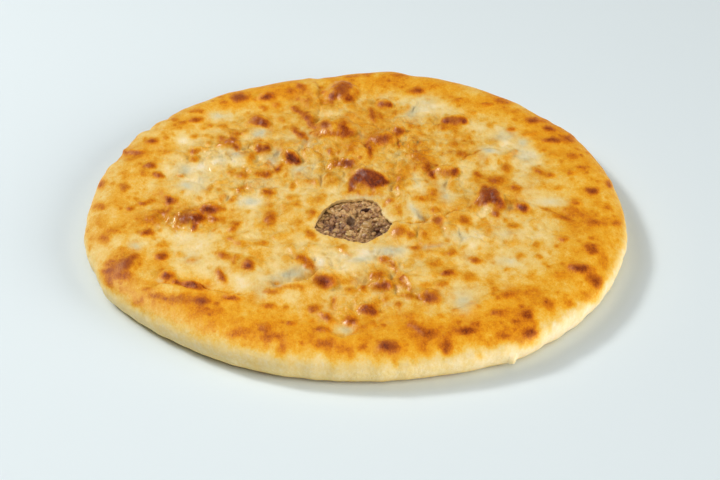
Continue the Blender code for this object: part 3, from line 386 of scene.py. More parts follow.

# Folds and creases: line of points, groove depth, groove half width, lift of the left side, lift of the right side,
# reach of the lift, browning along it (partly real browning and partly painted shade in the groove; a minus value
# paints the ridge paler, a painted highlight)
FOLDS = (
    (((-161, 44), (-153, 49), (-145, 51), (-135, 51)), .7, 1.3, .8, -.3, 6, .12),
    (((-122, -100), (-112, -94.5), (-104, -94.0), (-96, -98.5), (-86, -100.0), (-76, -102.5), (-66, -104.5), (-60, -104)), .7, 1.3, -.3, .9, 8, .30),
    (((-53, -97), (-49, -98), (-39, -93.5), (-30, -91.5), (-24, -87.5), (-18, -82.5), (-10, -79.5), (-2, -80)), .8, 1.4, -1.3, 1.3, 9, .10),
    (((17, -70), (20, -77), (22, -83), (24.5, -92), (28.8, -103), (33.8, -109.3), (39, -113), (48, -114)), .9, 1.5, .45, -.4, 7, .22),
    (((-13.5, -104), (-13.4, -112), (-14.5, -119)), .9, 1.1, .7, -.2, 6, .20),
    (((-19, -134), (-13, -140), (-7.5, -144.5), (-2.5, -140), (1.5, -133)), .8, 1.4, -1.3, .3, 6, .16),
    (((66, -13), (57.3, -18.5), (51.1, -22.8), (44.9, -25.8), (38, -30), (31, -32.6), (25, -33)), 1.1, 0.9, .9, -.5, 6, .34),
    (((24, 4), (29, -3), (32, -11), (34.4, -20), (36.3, -31)), -1.5, 1.5, 0, 0, 4, -.20),
    (((34, 98), (36, 105), (39, 113), (43, 124)), 1.1, 1.6, .4, .2, 7, -.02),
    (((-27, 152), (-25.5, 135), (-25, 118), (-25.5, 98), (-29, 84)), .9, 1.6, -.5, 1.0, 9, .06),
    (((27.5, 78), (26.4, 70), (27.2, 60), (26, 55)), 1.0, 1.1, .5, 0, 5, .26),
    (((4.5, 66), (6.5, 58), (8.5, 50), (6, 44)), .9, 1.2, .2, .6, 5, .24),
    (((-33.5, 72), (-33, 62), (-35, 54), (-36, 47)), 1.1, 1.3, .5, .2, 5, .20),
    (((21.4, 14), (20.6, 7), (21.4, 1), (24, -4)), 1.3, 1.0, 0, .3, 4, .06),
    (((103, -9.5), (112, -13), (119, -19), (126, -26), (134, -31)), .4, 2.0, -.2, .6, 7, .16),
    (((62, 40), (67, 43), (72, 49), (79, 53), (87, 54), (93, 51)), .8, 1.2, -.3, .6, 6, .22),
    (((100, 52), (104, 46), (104, 40), (100, 34)), .5, 1.6, .2, .5, 7, .04),
    (((-58, 44), (-53, 38), (-52, 30), (-56, 22)), .8, 1.2, .3, .3, 5, .16),
    (((-50, 60), (-52, 52), (-51, 44), (-53, 36)), .8, 1.3, .3, .3, 5, .02),
    (((-96, 40), (-90, 47), (-84, 49), (-80, 56)), .9, 1.3, .3, .4, 5, .04),
    (((-112, 40), (-110, 32), (-108, 24), (-104, 14)), .5, 1.8, .2, .4, 7, 0),
    (((-76, 38), (-71, 30), (-70, 20), (-72, 10), (-68, 2)), .8, 1.2, .4, .2, 5, .14),
    (((-66, -60), (-58, -68), (-54, -78), (-53, -90)), .6, 1.5, -.3, .4, 8, .03),
    # these two ridges are the glinting ripples: their minus browning paints them pale, a painted highlight
    (((66, -39), (69.4, -41.2), (73.8, -46.5), (78.3, -50.8)), -.9, 1.0, 0, .2, 4, -.12),
    (((52.4, -29), (51.6, -34), (54.4, -38), (53.3, -42)), -.9, 1.0, 0, 0, 4, -.12),
    (((-32, -55), (-27, -62), (-23, -70), (-19, -76)), .8, 1.4, .3, .5, 5, -.06),
    (((2, -62), (9, -63.5), (14, -66), (20, -69.5), (27, -71)), 1.3, 1.7, .9, -.2, 6, .02),
    (((56, -51), (46.7, -54.6), (38.9, -58), (30, -61.5)), .5, 1.7, .3, -.2, 5, .03),
    (((88, -104), (80, -100), (74, -104), (66, -112), (56, -117), (46, -118)), .5, 1.4, .4, -.3, 7, .10),
    (((-20, 30), (-13, 34), (-11, 42), (-15, 50)), .8, 1.2, .3, .3, 5, .12),
    (((43, 36), (45, 30), (47.5, 22), (50, 17)), 1.0, 1.1, .6, -.2, 5, .30),
    (((-128, 50), (-120, 42), (-116, 30)), .4, 2.0, .3, 0, 8, .05),
    (((-88, -12), (-82, -5), (-79, 4)), .7, 1.3, .3, .3, 5, -.05),
    (((60, 20), (56, 12), (54, 2), (55, -8)), .7, 1.6, .2, .4, 6, -.03),
    (((-100, -40), (-110, -36), (-116, -28), (-118, -20)), .5, 1.5, .2, .3, 6, .08),
    (((-70, -58), (-60, -54), (-48, -55)), .5, 1.6, 0, .4, 6, .06),
    (((96, 90), (102, 80), (98, 70), (104, 62)), .6, 1.8, .2, .3, 7, .0),
)

# Where the lid is wrinkled and wet with butter: x, y, half width, half height, strength
ROUGH = (
    (-86, 44, 32, 24, 1.0), (-66, 10, 22, 26, .9), (-105, -30, 20, 14, .9), (-24, 40, 30, 34, 1.0), (30, 60, 30, 40, .9),
    (24, 18, 30, 30, .8), (12, -100, 20, 26, .75), (-5, -128, 18, 12, .6), (60, 20, 22, 20, .7), (78, -12, 18, 20, .7),
    (40, -40, 34, 26, .45), (66, -46, 20, 14, .7), (-24, -68, 22, 14, .7), (-50, -10, 18, 20, .5), (20, -75, 22, 16, .8),
    (-14, 110, 24, 26, .5), (-95, 12, 18, 16, .6), (34, -86, 14, 22, .45), (-120, -30, 12, 12, .6), (105, -36, 22, 14, .4),
    (40, -112, 16, 12, .5), (100, 50, 24, 20, .3), (-60, -40, 24, 18, .4), (-75, 75, 20, 14, .6), (-60, -85, 24, 18, .2),
)

# Purple-brown sheen on the darkest blisters, painted into the colour as a painted highlight: x, y, half width, half
# height, turn, strength
PAINTED_PLUM_SHEEN = (
    (4.0, 27.0, 10.0, 7.5, -25, 1.0), (-4.8, 15.0, 3.2, 9.0, 8, .8), (-104.5, -26.0, 5.0, 6.5, 0, .9), (81.0, 1.5, 7.0, 7.5, 0, .9),
    (-11.0, 139.0, 6.5, 9.0, -20, .9), (-134.0, -73.0, 4.2, 7.0, -28, .9), (16.8, -150.0, 4.6, 4.6, 0, .8), (-66.5, 94.0, 5.0, 4.0, 0, .8),
    (-80.8, 126.5, 5.5, 5.5, 0, .7), (64.0, 95.0, 4.8, 4.4, 0, .8), (-20.0, -89.5, 4.2, 3.4, 0, .8), (-22.0, 88.5, 4.0, 4.0, 0, .7),
    (-4.6, 39.5, 3.6, 4.4, 0, .9), (15.5, 71.0, 3.6, 3.6, 0, .7), (27.0, 81.0, 2.8, 3.0, 0, .7), (-102.0, -109.0, 9.0, 5.0, -8, .6),
    (-88.0, -111.0, 5.0, 3.6, 0, .7), (48.5, -28.0, 2.8, 2.8, 0, .6), (18.0, 117.0, 3.8, 3.0, 0, .7), (57.0, 27.0, 4.4, 3.4, 0, .6),
    (-114.0, -106.0, 4.0, 3.0, 0, .6), (128.0, -76.0, 5.0, 3.0, 0, .5), (-133.0, 36.0, 3.0, 3.0, 0, .6), (14.0, -95.0, 4.0, 2.6, 28, .5),
    (83.5, -16.0, 3.0, 5.0, 0, .5), (-54.0, -137.0, 6.0, 6.0, 0, .4), (144.5, 6.0, 3.4, 3.4, 0, .5), (-145.5, 10.0, 3.4, 5.5, 0, .6),
    (41.0, -106.0, 3.4, 4.0, 0, .5), (126.0, 69.0, 6.0, 2.6, 0, .5), (116.0, 94.0, 4.0, 3.4, 0, .4), (-61.5, 58.0, 3.0, 3.0, 0, .7),
)

# Height on the side where the browning starts, by direction (degrees)
BROWN_LINE = (
    (-180, 13.4), (-165, 14.4), (-150, 15.2), (-144, 16.0), (-139, 14.6), (-132, 17.6), (-127, 16.0), (-120, 18.0), (-112, 18.1),
    (-104, 17.6), (-97, 18.3), (-90, 18.5), (-83, 17.6), (-76, 17.6), (-68, 18.8), (-62, 17.6), (-57, 15.4), (-53, 15.6), (-50, 18.8),
    (-45, 18.2), (-40, 15.6), (-36, 14.8), (-31, 16.6), (-22, 17.4), (-15, 16.4), (-9, 13.6), (0, 12.5), (15, 10.0), (40, 9.0), (70, 9.5), (95, 9.0),
    (120, 10.0), (150, 10.0), (170, 12.4), (180, 13.4),
)


# =====================================================================================
# Base surface of the crust
# =====================================================================================
def shoulder_height(inset):
    part = np.clip(inset / SHOULDER, 0.0, 1.0)
    return SIDE_WIDEST + (SHOULDER_TOP - SIDE_WIDEST) * (1.0 - (1.0 - part) ** SHOULDER_POWER) ** (1.0 / SHOULDER_POWER)


def lid_base(x, y, radius_at=None):
    """Plain height of the lid, without folds, blisters or wrinkles."""
    radius = np.hypot(x, y)
    edge = outline(np.arctan2(y, x)) if radius_at is None else radius_at
    inset = np.maximum(edge - radius, 0.0)
    height = shoulder_height(inset)
    height = height + LID_RISE * (1.0 - smooth(20.0, 120.0, radius))
    height = height - DIP_DEPTH * np.exp(-(((radius - DIP_RADIUS) / DIP_WIDTH) ** 2))
    loose = smooth(6.0, 36.0, inset)
    for turn, length, rise, phase in SWELLS:
        along = x * math.cos(math.radians(turn)) + y * math.sin(math.radians(turn))
        height = height + loose * rise * np.sin(2.0 * math.pi * along / length + math.radians(phase))
    return height


def seen_at(points):
    """Where a point appears on the level REF_Z, seen from the camera's place."""
    d = points - EYE
    t = (REF_Z - EYE[2]) / d[:, 2]
    return EYE[0] + d[:, 0] * t, EYE[1] + d[:, 1] * t


def ellipse(qx, qy, x, y, a, b, turn):
    c, s = math.cos(math.radians(turn)), math.sin(math.radians(turn))
    dx, dy = qx - x, qy - y
    return ((c * dx + s * dy) / a) ** 2 + ((c * dy - s * dx) / b) ** 2


def along_line(qx, qy, line):
    """Signed distance to the line (left positive) and how far along it, 0 to 1."""
    pts = np.array(line, float)
    seg = np.hypot(*(pts[1:] - pts[:-1]).T)
    total = seg.sum()
    best = np.full(qx.shape, 1e9)
    sign = np.zeros(qx.shape)
    where = np.zeros(qx.shape)
    start = 0.0
    for i in range(len(pts) - 1):
        ax, ay = pts[i]
        dx, dy = pts[i + 1] - pts[i]
        t = ((qx - ax) * dx + (qy - ay) * dy) / (dx * dx + dy * dy)
        tc = np.clip(t, 0.0, 1.0)
        ex, ey = qx - ax - tc * dx, qy - ay - tc * dy
        d = np.hypot(ex, ey)
        hit = d < best
        best = np.where(hit, d, best)
        sign = np.where(hit, np.sign(dx * ey - dy * ex), sign)
        where = np.where(hit, (start + tc * seg[i]) / total, where)
        start += seg[i]
    return best * np.where(sign == 0, 1, sign), where


def inside(qx, qy, shape):
    """Distance to the edge of a closed shape, positive inside (mm)."""
    pts = list(shape) + [shape[0]]
    d, _ = along_line(qx, qy, pts)
    within = np.zeros(qx.shape, bool)
    for (x0, y0), (x1, y1) in zip(pts[:-1], pts[1:]):
        crosses = (y0 > qy) != (y1 > qy)
        within ^= crosses & (qx < (x1 - x0) * (qy - y0) / ((y1 - y0) or 1e-9) + x0)
    return np.where(within, np.abs(d), -np.abs(d))


def pillows(x, y):
    """Soft lumps of two sizes with creases between them, each 0 to 1."""
    wx = x + 2.8 * perlin(x, y, 10.0, 111) + 1.0 * perlin(x, y, 4.2, 112)
    wy = y + 2.8 * perlin(x, y, 10.0, 113) + 1.0 * perlin(x, y, 4.2, 114)
    d, s, num = cells(wx, wy, 12.5, 115)
    big = smooth(-0.16, 0.62, s - d + 0.16 * perlin(x, y, 6.0, 117)) * (0.35 + 0.65 * num)
    d, s, num = cells(wx + 31.0, wy, 6.2, 116)
    small = smooth(-0.20, 0.66, s - d + 0.16 * perlin(x, y, 3.4, 118)) * (0.2 + 0.8 * num)
    return big, small


# =====================================================================================
# Meshes
# =====================================================================================
def zip_rings(a, na, b, nb, faces):
    """Triangles between two closed rings whose points are evenly spread by angle."""
    i = j = 0
    while i < na or j < nb:
        if j >= nb or (i < na and (i + 1) * nb <= (j + 1) * na):
            faces.append((a + i % na, a + (i + 1) % na, b + j % nb))
            i += 1
        else:
            faces.append((a + i % na, b + (j + 1) % nb, b + j % nb))
            j += 1


def make_mesh(name, points_mm, faces, attributes=None):
    mesh = bpy.data.meshes.new(name)
    co = (np.asarray(points_mm, float) - MIDDLE) * 0.001
    faces = np.asarray(faces, np.int32)
    v0, v1, v2 = co[faces[:, 0]], co[faces[:, 1]], co[faces[:, 2]]
    if np.einsum("ij,ij->i", v0, np.cross(v1, v2)).sum() < 0:
        faces = faces[:, ::-1]
    mesh.vertices.add(len(co))
    mesh.vertices.foreach_set("co", co.astype(np.float32).ravel())
    mesh.loops.add(len(faces) * 3)
    mesh.loops.foreach_set("vertex_index", faces.ravel())
    mesh.polygons.add(len(faces))
    mesh.polygons.foreach_set("loop_start", np.arange(0, len(faces) * 3, 3, dtype=np.int32))
    mesh.polygons.foreach_set("use_smooth", np.ones(len(faces), bool))
    mesh.update(calc_edges=True)
    for key, values in (attributes or {}).items():
        layer = mesh.attributes.new(key, "FLOAT", "POINT")
        layer.data.foreach_set("value", np.asarray(values, np.float32))
    mesh.validate()
    body = bpy.data.objects.new(name, mesh)
    bpy.context.scene.collection.objects.link(body)
    return body


def vertex_normals(points, faces):
    faces = np.asarray(faces)
    n = np.cross(points[faces[:, 1]] - points[faces[:, 0]], points[faces[:, 2]] - points[faces[:, 0]])
    out = np.zeros_like(points)
    for k in range(3):
        for axis in range(3):
            out[:, axis] += np.bincount(faces[:, k], weights=n[:, axis], minlength=len(points))
    out /= np.maximum(np.linalg.norm(out, axis=1), 1e-12)[:, None]
    return out


def build_crust():
    STEP = 1.13
    TAU = 2.0 * math.pi
    pts, kind, inset_of, ang_of = [], [], [], []
    rings = []  # (first index, count)
    count = [0]

    def add(angle, x, y, z, tag, inset):
        rings.append((count[0], len(angle)))
        pts.append(np.stack([x, y, z], -1))
        kind.append(np.full(len(angle), tag))
        inset_of.append(inset + np.zeros(len(angle)))
        ang_of.append(angle)
        count[0] += len(angle)

    def angles(n, odd):
        return TAU * (np.arange(n) + 0.0 * odd) / n

    def polar(angle, inset):
        r = outline(angle) - inset
        return r * np.cos(angle), r * np.sin(angle)

    # underside
    for share, n in ((0.16, 30), (0.32, 60), (0.48, 90), (0.62, 130), (0.75, 190), (0.86, 290), (0.93, 420)):
        a = angles(n, 0)
        x, y = polar(a, 0.0)
        add(a, x * share, y * share, 0.0 * a, 0, 60.0)
    # rounded foot, then shoulder: rings at even steps of arc
    q = np.linspace(0.0, 0.5 * math.pi, 400)
    foot = np.stack([FOOT_ROUND * (1 - np.sin(q)), SIDE_WIDEST * (1 - np.cos(q))], -1)
    i = SHOULDER * (1.0 - np.cos(np.linspace(0, 0.5 * math.pi, 600))) ** 1.6
    shoulder = np.stack([i, shoulder_height(i)], -1)
    for n_arc, (curve, spacing, tag) in enumerate(((foot, 1.35, 1), (shoulder, 1.15, 2))):
        arc = np.concatenate([[0.0], np.cumsum(np.hypot(*(curve[1:] - curve[:-1]).T))])
        m = int(round(arc[-1] / spacing))
        for k in range(m + (1 if n_arc == 0 else 0)):
            s = arc[-1] * (k + (0 if n_arc == 0 else 1)) / m
            ins, z = np.interp(s, arc, curve[:, 0]), np.interp(s, arc, curve[:, 1])
            n = int(TAU * (PIE_RADIUS - ins) / 1.24)
            a = angles(n, k % 2)
            x, y = polar(a, ins)
            if tag == 2:
                z = lid_base(x, y, outline(a))
            add(a, x, y, z + 0.0 * a, tag, ins)
    # lid
    lid_steps = 116
    for k in range(1, lid_steps + 1):
        share = 1.0 - k / lid_steps
        n = int(TAU * (24.0 + (PIE_RADIUS - SHOULDER - 24.0) * share) / (STEP if share > 0.06 else 0.9))
        a = angles(n, k % 2)
        ox, oy = polar(a, SHOULDER)
        r = vent_reach(a) + 0.45
        hx, hy = VENT[0] + r * np.cos(a), VENT[1] + r * np.sin(a)
        x, y = hx + (ox - hx) * share, hy + (oy - hy) * share
        add(a, x, y, lid_base(x, y), 3, 60.0)
    # torn lip and the wall of the vent, then the hidden cavity
    n = 190
    a = angles(n, 0)
    for grow, down in ((0.18, 0.12), (0.02, 0.45), (-0.02, 0.95), (0.06, 1.5), (0.12, 2.1), (0.3, 2.7), (1.0, LID_DOUGH)):
        r = vent_reach(a) + grow
        x, y = VENT[0] + r * np.cos(a), VENT[1] + r * np.sin(a)
        add(a, x, y, lid_base(x, y) - down, 4, 60.0)
    for share in (0.08, 0.25, 0.5, 0.75, 1.0):
        ox, oy = polar(a, SHOULDER)
        r = vent_reach(a)
        hx, hy = VENT[0] + r * np.cos(a), VENT[1] + r * np.sin(a)
        x, y = hx + (ox - hx) * share, hy + (oy - hy) * share
        add(a, x, y, lid_base(x, y) - LID_DOUGH, 5, 60.0)
    for ins, z in ((SIDE_DOUGH + 6.0, None), (SIDE_DOUGH, SIDE_WIDEST + 0.5), (SIDE_DOUGH + 2.5, FLOOR_DOUGH + 1.5), (SIDE_DOUGH + 6.0, FLOOR_DOUGH)):
        x, y = polar(a, ins)
        zz = lid_base(x, y) - LID_DOUGH - 0.6 if z is None else z + 0.0 * a
        add(a, x, y, zz, 5, 60.0)

    faces = []
    for (a0, na), (b0, nb) in zip(rings[:-1], rings[1:]):
        zip_rings(a0, na, b0, nb, faces)
    total = count[0]
    pts.append(np.array([[0.0, 0.0, 0.0], [0.0, 0.0, FLOOR_DOUGH]]))
    kind.append(np.array([0, 5])); inset_of.append(np.array([60.0, 60.0])); ang_of.append(np.zeros(2))
    f0, n0 = rings[0]
    faces += [(total, f0 + (k + 1) % n0, f0 + k) for k in range(n0)]
    f1, n1 = rings[-1]
    faces += [(total + 1, f1 + k, f1 + (k + 1) % n1) for k in range(n1)]
    P = np.concatenate(pts)
    K = np.concatenate(kind)
    I = np.concatenate(inset_of)
    F = np.array(faces)
    N = vertex_normals(P, F)
    if N[K == 3][:, 2].mean() < 0:
        N = -N
        F = F[:, ::-1]
    return P, K, I, F, N


def lid_relief(qx, qy, ux, uy, facing, inset):
    """Height of folds and blisters over the plain surface (mm), with the browning that goes with the folds, partly
    painted shade in the grooves and painted highlight on pale ridges.
    """
    rise = np.zeros_like(qx)
    brown = np.zeros_like(qx)
    # folds
    for line, depth, width, left, right, reach, browning_and_painted_light in FOLDS:
        arr = np.array(line, float)
        near = (qx > arr[:, 0].min() - 30) & (qx < arr[:, 0].max() + 30) & (qy > arr[:, 1].min() - 30) & (qy < arr[:, 1].max() + 30)
        if not near.any():
            continue
        jx = qx[near] + 1.5 * perlin(qx[near], qy[near], 9.0, 301) + 0.5 * perlin(qx[near], qy[near], 3.6, 303)
        jy = qy[near] + 1.5 * perlin(qx[near], qy[near], 9.0, 302) + 0.5 * perlin(qx[near], qy[near], 3.6, 304)
        d, t = along_line(jx, jy, line)
        ends = smooth(0.0, 0.2, t) * smooth(1.0, 0.8, t)
        ad = np.abs(d)
        w = max(width, 1.6)
        side = np.where(d > 0, left, right)
        bank = 3.2 * side * (1.0 - np.exp(-((ad / (1.6 * w)) ** 1.5))) * np.exp(-((ad / reach) ** 1.6))
        rise[near] += ends * (bank - 0.85 * depth * np.exp(-((ad / w) ** 2)))
        # browning along the fold: partly real browning, partly painted shade in the groove; a minus value is a painted
        # highlight along the ridge
        brown[near] += ends * 0.85 * browning_and_painted_light * np.exp(-((ad / (0.9 * w)) ** 2))
    # blisters: their tops are seen further back than they stand, so they stand a little nearer
    uneven = perlin(qx, DEEP * qy, 6.5, 401)
    pebbled = perlin(qx, DEEP * qy, 3.1, 402)
    for x, y, a, b, turn, high, steep in BLISTERS:
        e = ellipse(qx, qy, x, y - 0.75 * high, a, b, turn) * (1.0 + 0.34 * uneven)
        soft = np.exp(-1.3 * e)
        firm = np.clip(1.0 - e, 0.0, 1.0) ** 0.75
        rise += 2.0 * high * (steep * firm + (1 - steep) * soft) * (1.0 + 0.10 * uneven + 0.07 * pebbled)
    # the great blister behind the vent and the one on the right, steep at the back and long towards the front
    for x, y, left, right, front, back, high in GREAT:
        wide = np.where(qx < x, left, right)
        deep = np.where(qy < y, front, back)
        e = (((qx - x) / wide) ** 2 + ((qy - y) / deep) ** 2) * (1.0 + 0.14 * uneven + 0.06 * pebbled)
        rise += high * np.clip(1.0 - e, 0.0, 1.0) ** 0.52 * (1.0 + 0.05 * pebbled)
    return rise, brown


def browning(qx, qy, ux, uy, facing, height, angle, inset, lumps):
    """Depth of browning of the outside, 0 raw to 1 almost black, and the spots alone."""
    far = 1.0 - facing
    # general tone: golden middle, more orange towards the puffed edge
    edge = smooth(50.0, 24.0, inset)
    tone = 0.345 + 0.065 * edge
    tone = tone + 0.15 * fbm(qx, DEEP * qy, 22.0, 21, 2) + 0.19 * fbm(qx, DEEP * qy, 9.5, 22, 2) * (1.0 - 0.3 * edge) + 0.06 * fbm(ux, uy, 4.6, 24, 2)
    tone = tone + lumps
    for x, y, a, b, turn, add in WASHES:
        e = ellipse(qx, qy, x, y, a, b, turn)
        tone = tone + facing * add * (1.25 if add < 0 else 1.0) * np.exp(-0.9 * e)
    # unseen far side: the same kind of patches, placed at random
    tone = tone + far * 0.10 * fbm(ux, uy, 22.0, 23, 2)
    # small freckles everywhere
    d1, _, n1 = cells(ux, uy, 6.4, 31)
    freckle = smooth(0.40, 0.06, d1) * smooth(0.50, 0.95, n1)
    tone = tone + 0.20 * freckle
    d2, _, n2 = cells(ux, uy, 3.6, 32)
    tone = tone + 0.10 * smooth(0.44, 0.1, d2) * smooth(0.5, 0.95, n2)
    # blotches of the unseen side
    d3, _, n3 = cells(ux + 2.0 * perlin(ux, uy, 6.0, 34), uy + 2.0 * perlin(ux, uy, 6.0, 35), 15.0, 33)
    blot = smooth(0.30 + 0.1 * n3, 0.06, d3) * smooth(0.45, 0.9, n3)
    tone = 1.0 - (1.0 - tone) * (1.0 - 0.7 * far * blot)
    # the spots
    spot = np.zeros_like(qx)
    wx = qx + 0.9 * perlin(qx, DEEP * qy, 6.4, 41) + 0.4 * perlin(qx, DEEP * qy, 2.7, 42)
    wy = qy + 1.2 * perlin(qx, DEEP * qy, 6.4, 43) + 0.6 * perlin(qx, DEEP * qy, 2.7, 44)
    ragged = 1.0 + 0.26 * perlin(qx, DEEP * qy, 3.6, 45)
    tall = 1.16 + 0.26 * smooth(24.0, 50.0, inset)
    for x, y, a, b, turn, deep in SPOTS:
        near = (np.abs(qx - x) < 3.6 * max(a, b) + 3) & (np.abs(qy - y) < 3.6 * max(a, b) + 3) & (facing > 0)
        if not near.any():
            continue
        e = ellipse(wx[near], wy[near], x, y, a * 1.10, b * tall[near], turn) * ragged[near]
        core = smooth(1.42, 0.16, np.sqrt(e))
        halo = np.exp(-0.42 * e)
        value = 0.88 * deep ** 1.65 * core + 0.17 * deep * halo
        spot[near] = 1.0 - (1.0 - spot[near]) * (1.0 - np.clip(value, 0, 0.97) * facing[near])
    # the great blister: brown crown, orange below
    crown = smooth(-1.9, 3.2, inside(wx, wy, CROWN)) * facing
    body = smooth(1.10, 0.85, np.sqrt(ellipse(wx, wy, 6.2, 14.0, 13.0, 16.0, -6))) * facing
    right = smooth(-3.2, 4.4, inside(wx, wy, CROWN_RIGHT)) * facing
    tone = 1.0 - (1.0 - tone) * (1.0 - 0.34 * body)
    spot = np.maximum(spot, np.maximum(0.86 * crown, 0.85 * right))
    return tone, spot


def ragged_line(angle):
    """Height of the browning line round the side, with long drips."""
    deg = np.degrees(angle)
    base = np.interp(deg, [d for d, _ in BROWN_LINE], [h for _, h in BROWN_LINE])
    return base + 0.6 * wave_noise(angle, 44, 61) + 0.35 * wave_noise(angle, 110, 62)


def build_crust_piece():
    P, K, I, F, N = build_crust()
    angle = np.arctan2(P[:, 1], P[:, 0])
    radius = np.hypot(P[:, 0], P[:, 1])
    inset = outline(angle) - radius
    # how far a point is from the middle along the surface, for patterns that must not stretch on the side
    arc = np.where(K == 2, (SHOULDER - inset) * 1.15 + (SHOULDER_TOP - P[:, 2]) * 0.6, 0.0)
    arc = np.where(K == 1, SHOULDER * 1.15 + 6.3 + (SIDE_WIDEST - P[:, 2]), arc)
    base_r = np.where((K == 1) | (K == 2), radius + inset - SHOULDER + arc, radius)
    ux, uy = base_r * np.cos(angle), DEEP * base_r * np.sin(angle)
    outside = (K == 1) | (K == 2) | (K == 3)

    qx, qy = seen_at(P)
    to_eye = EYE - P
    to_eye /= np.linalg.norm(to_eye, axis=1)[:, None]
    facing = smooth(0.02, 0.22, np.einsum("ij,ij->i", N, to_eye))

    lid = smooth(2.0, 16.0, np.where(K >= 2, inset, 0.0))
    rough = np.zeros_like(qx)
    for x, y, a, b, s in ROUGH:
        rough = np.maximum(rough, s * np.exp(-0.8 * ellipse(qx, qy, x, y, a, b, 0)))
    rough = np.clip(rough * (1.0 + 0.35 * fbm(ux, uy, 14.0, 71, 2)), 0.0, 1.0) * smooth(12, 34, inset)

    rise, fold_browning_and_painted_light = lid_relief(qx, qy, ux, uy, facing, inset)
    rise = rise * facing
    rise += lid * (0.50 * fbm(ux, uy, 34.0, 81, 2) + 0.40 * fbm(ux, uy, 13.0, 82, 2))
    big, small = pillows(ux, uy)
    lively = (0.22 + 0.95 * rough) * smooth(18.0, 42.0, inset) * np.where(K == 3, 1.0, 0.0)
    pebble = smooth(0.66, 0.05, cells(ux, uy, 3.9, 89)[0])
    rise += lively * (3.1 * (big - 0.35) + 1.7 * (small - 0.35)) + rough * (0.10 * (ridged(ux + 0.6 * uy, uy, 5.2, 84) - 0.6) + 0.55 * pebble)
    rise += lid * (0.05 + 0.24 * rough) * perlin(ux, uy, 3.6, 86)
    lumps = lively * (0.15 * (big - 0.35) + 0.17 * (small - 0.35))
    # the lid bends down into the vent on its right-hand side
    va = np.arctan2(P[:, 1] - VENT[1], P[:, 0] - VENT[0])
    from_lip = np.hypot(P[:, 0] - VENT[0], P[:, 1] - VENT[1]) - vent_reach(va)
    turned = np.exp(-(((np.degrees(va) - 14.0) / 32.0) ** 2))
    rise -= np.where(K == 3, (0.5 + 2.1 * turned) * np.exp(-((np.maximum(from_lip, 0.0) / (1.9 + 3.0 * turned)) ** 1.3)), 0.0)
    # the side and shoulder: soft unevenness
    rise += np.where((K == 1) | (K == 2), 0.35 * (1 - lid) * fbm(ux, uy * 0.7, 24.0, 87, 2) + 0.07 * perlin(ux, uy, 4.0, 88), 0.0)

    # a little torn flap of dough at the foot
    tag = np.exp(-(((np.degrees(angle) + 60.0) / 0.95) ** 2)) * np.exp(-(((P[:, 2] - 6.2) / 2.6) ** 2)) * np.where(K == 1, 1.0, 0.0)
    rise += 3.0 * tag

    # browned spots are small raised bubbles
    _, spot = browning(qx, qy, ux, uy, facing, P[:, 2], angle, inset, lumps)
    rise += 1.45 * smooth(0.08, 0.75, spot) * facing * smooth(10.0, 26.0, inset) * np.where(inside(qx, qy, CROWN) > -2.0, 0.0, 1.0)

    rise = np.where(outside, rise, 0.0)
    # blend the relief out towards the foot so that the pie lies flat, and keep the lip where the vent is
    rise *= np.where(K == 1, smooth(0.4, 4.0, P[:, 2]), 1.0)
    Q = P + N * rise[:, None]
    # lip and wall of the vent follow the lid at their inner edge
    vent_angle = np.arctan2(P[:, 1] - VENT[1], P[:, 0] - VENT[0])
    edge_pts = np.where(K == 3)[0]
    vr = np.hypot(P[edge_pts, 0] - VENT[0], P[edge_pts, 1] - VENT[1]) - vent_reach(vent_angle[edge_pts])
    rim = edge_pts[vr < 1.0]
    order = np.argsort(vent_angle[rim])
    lip = np.where(K == 4)[0]
    Q[lip, 2] += np.interp(vent_angle[lip], vent_angle[rim][order], rise[rim][order], period=2 * math.pi) * smooth(-3.2, -1.2, P[lip, 2] - lid_base(P[lip, 0], P[lip, 1]))
    torn = 0.22 * perlin(vent_angle[lip] * 23.0, P[lip, 2], 1.6, 91)
    Q[lip, 0] += torn * np.cos(vent_angle[lip])
    Q[lip, 1] += torn * np.sin(vent_angle[lip])
    # underside: never below the table
    low = K == 0
    Q[low, 2] = np.maximum(Q[low, 2], 0.0)
    Q[:, 2] = np.maximum(Q[:, 2], 0.0)

    # ---- masks for the finish, where the shaped surface is seen
    qx, qy = seen_at(Q)
    tone, spot = browning(qx, qy, ux, uy, facing, P[:, 2], angle, inset, lumps)
    # browning of the folds, partly painted shade in the grooves and painted highlight on the pale ridges
    tone = tone + fold_browning_and_painted_light * facing
    tone = tone - 0.17 * turned * np.exp(-((from_lip / 4.6) ** 2)) * np.where(K == 3, 1.0, 0.0)
    line = ragged_line(angle)
    height = np.where(K == 1, P[:, 2], shoulder_height(inset) + 0.22 * np.maximum(inset - 12.0, 0.0))
    height = height + 1.2 * perlin(ux, uy, 7.0, 101) + 0.8 * perlin(ux, uy, 3.4, 102) + 1.0 * perlin(ux, uy, 2.2, 103)
    baked = smooth(-4.6, 4.0, height - line)
    baked = np.where((K == 0) | (K == 5), 0.0, baked)
    # painted light: the raw side is paler towards the right front, where light falls on it; it is also a little darker
    # towards the foot
    right_front_painted_light = np.exp(-(((np.degrees(angle) + 42.0) / 26.0) ** 2))
    raw = 0.11 - 0.10 * right_front_painted_light + 0.05 * (fbm(ux, uy, 12.0, 95, 2) + 0.6) + 0.05 * perlin(ux, uy, 2.0, 104) + 0.12 * (1.0 - 0.6 * right_front_painted_light) * smooth(8.0, 0.0, P[:, 2])
    tone = raw + (tone - raw) * baked
    tone = 1.0 - (1.0 - tone) * (1.0 - spot * smooth(-8.5, -2.0, height - line) * np.where(outside, 1.0, 0.0))
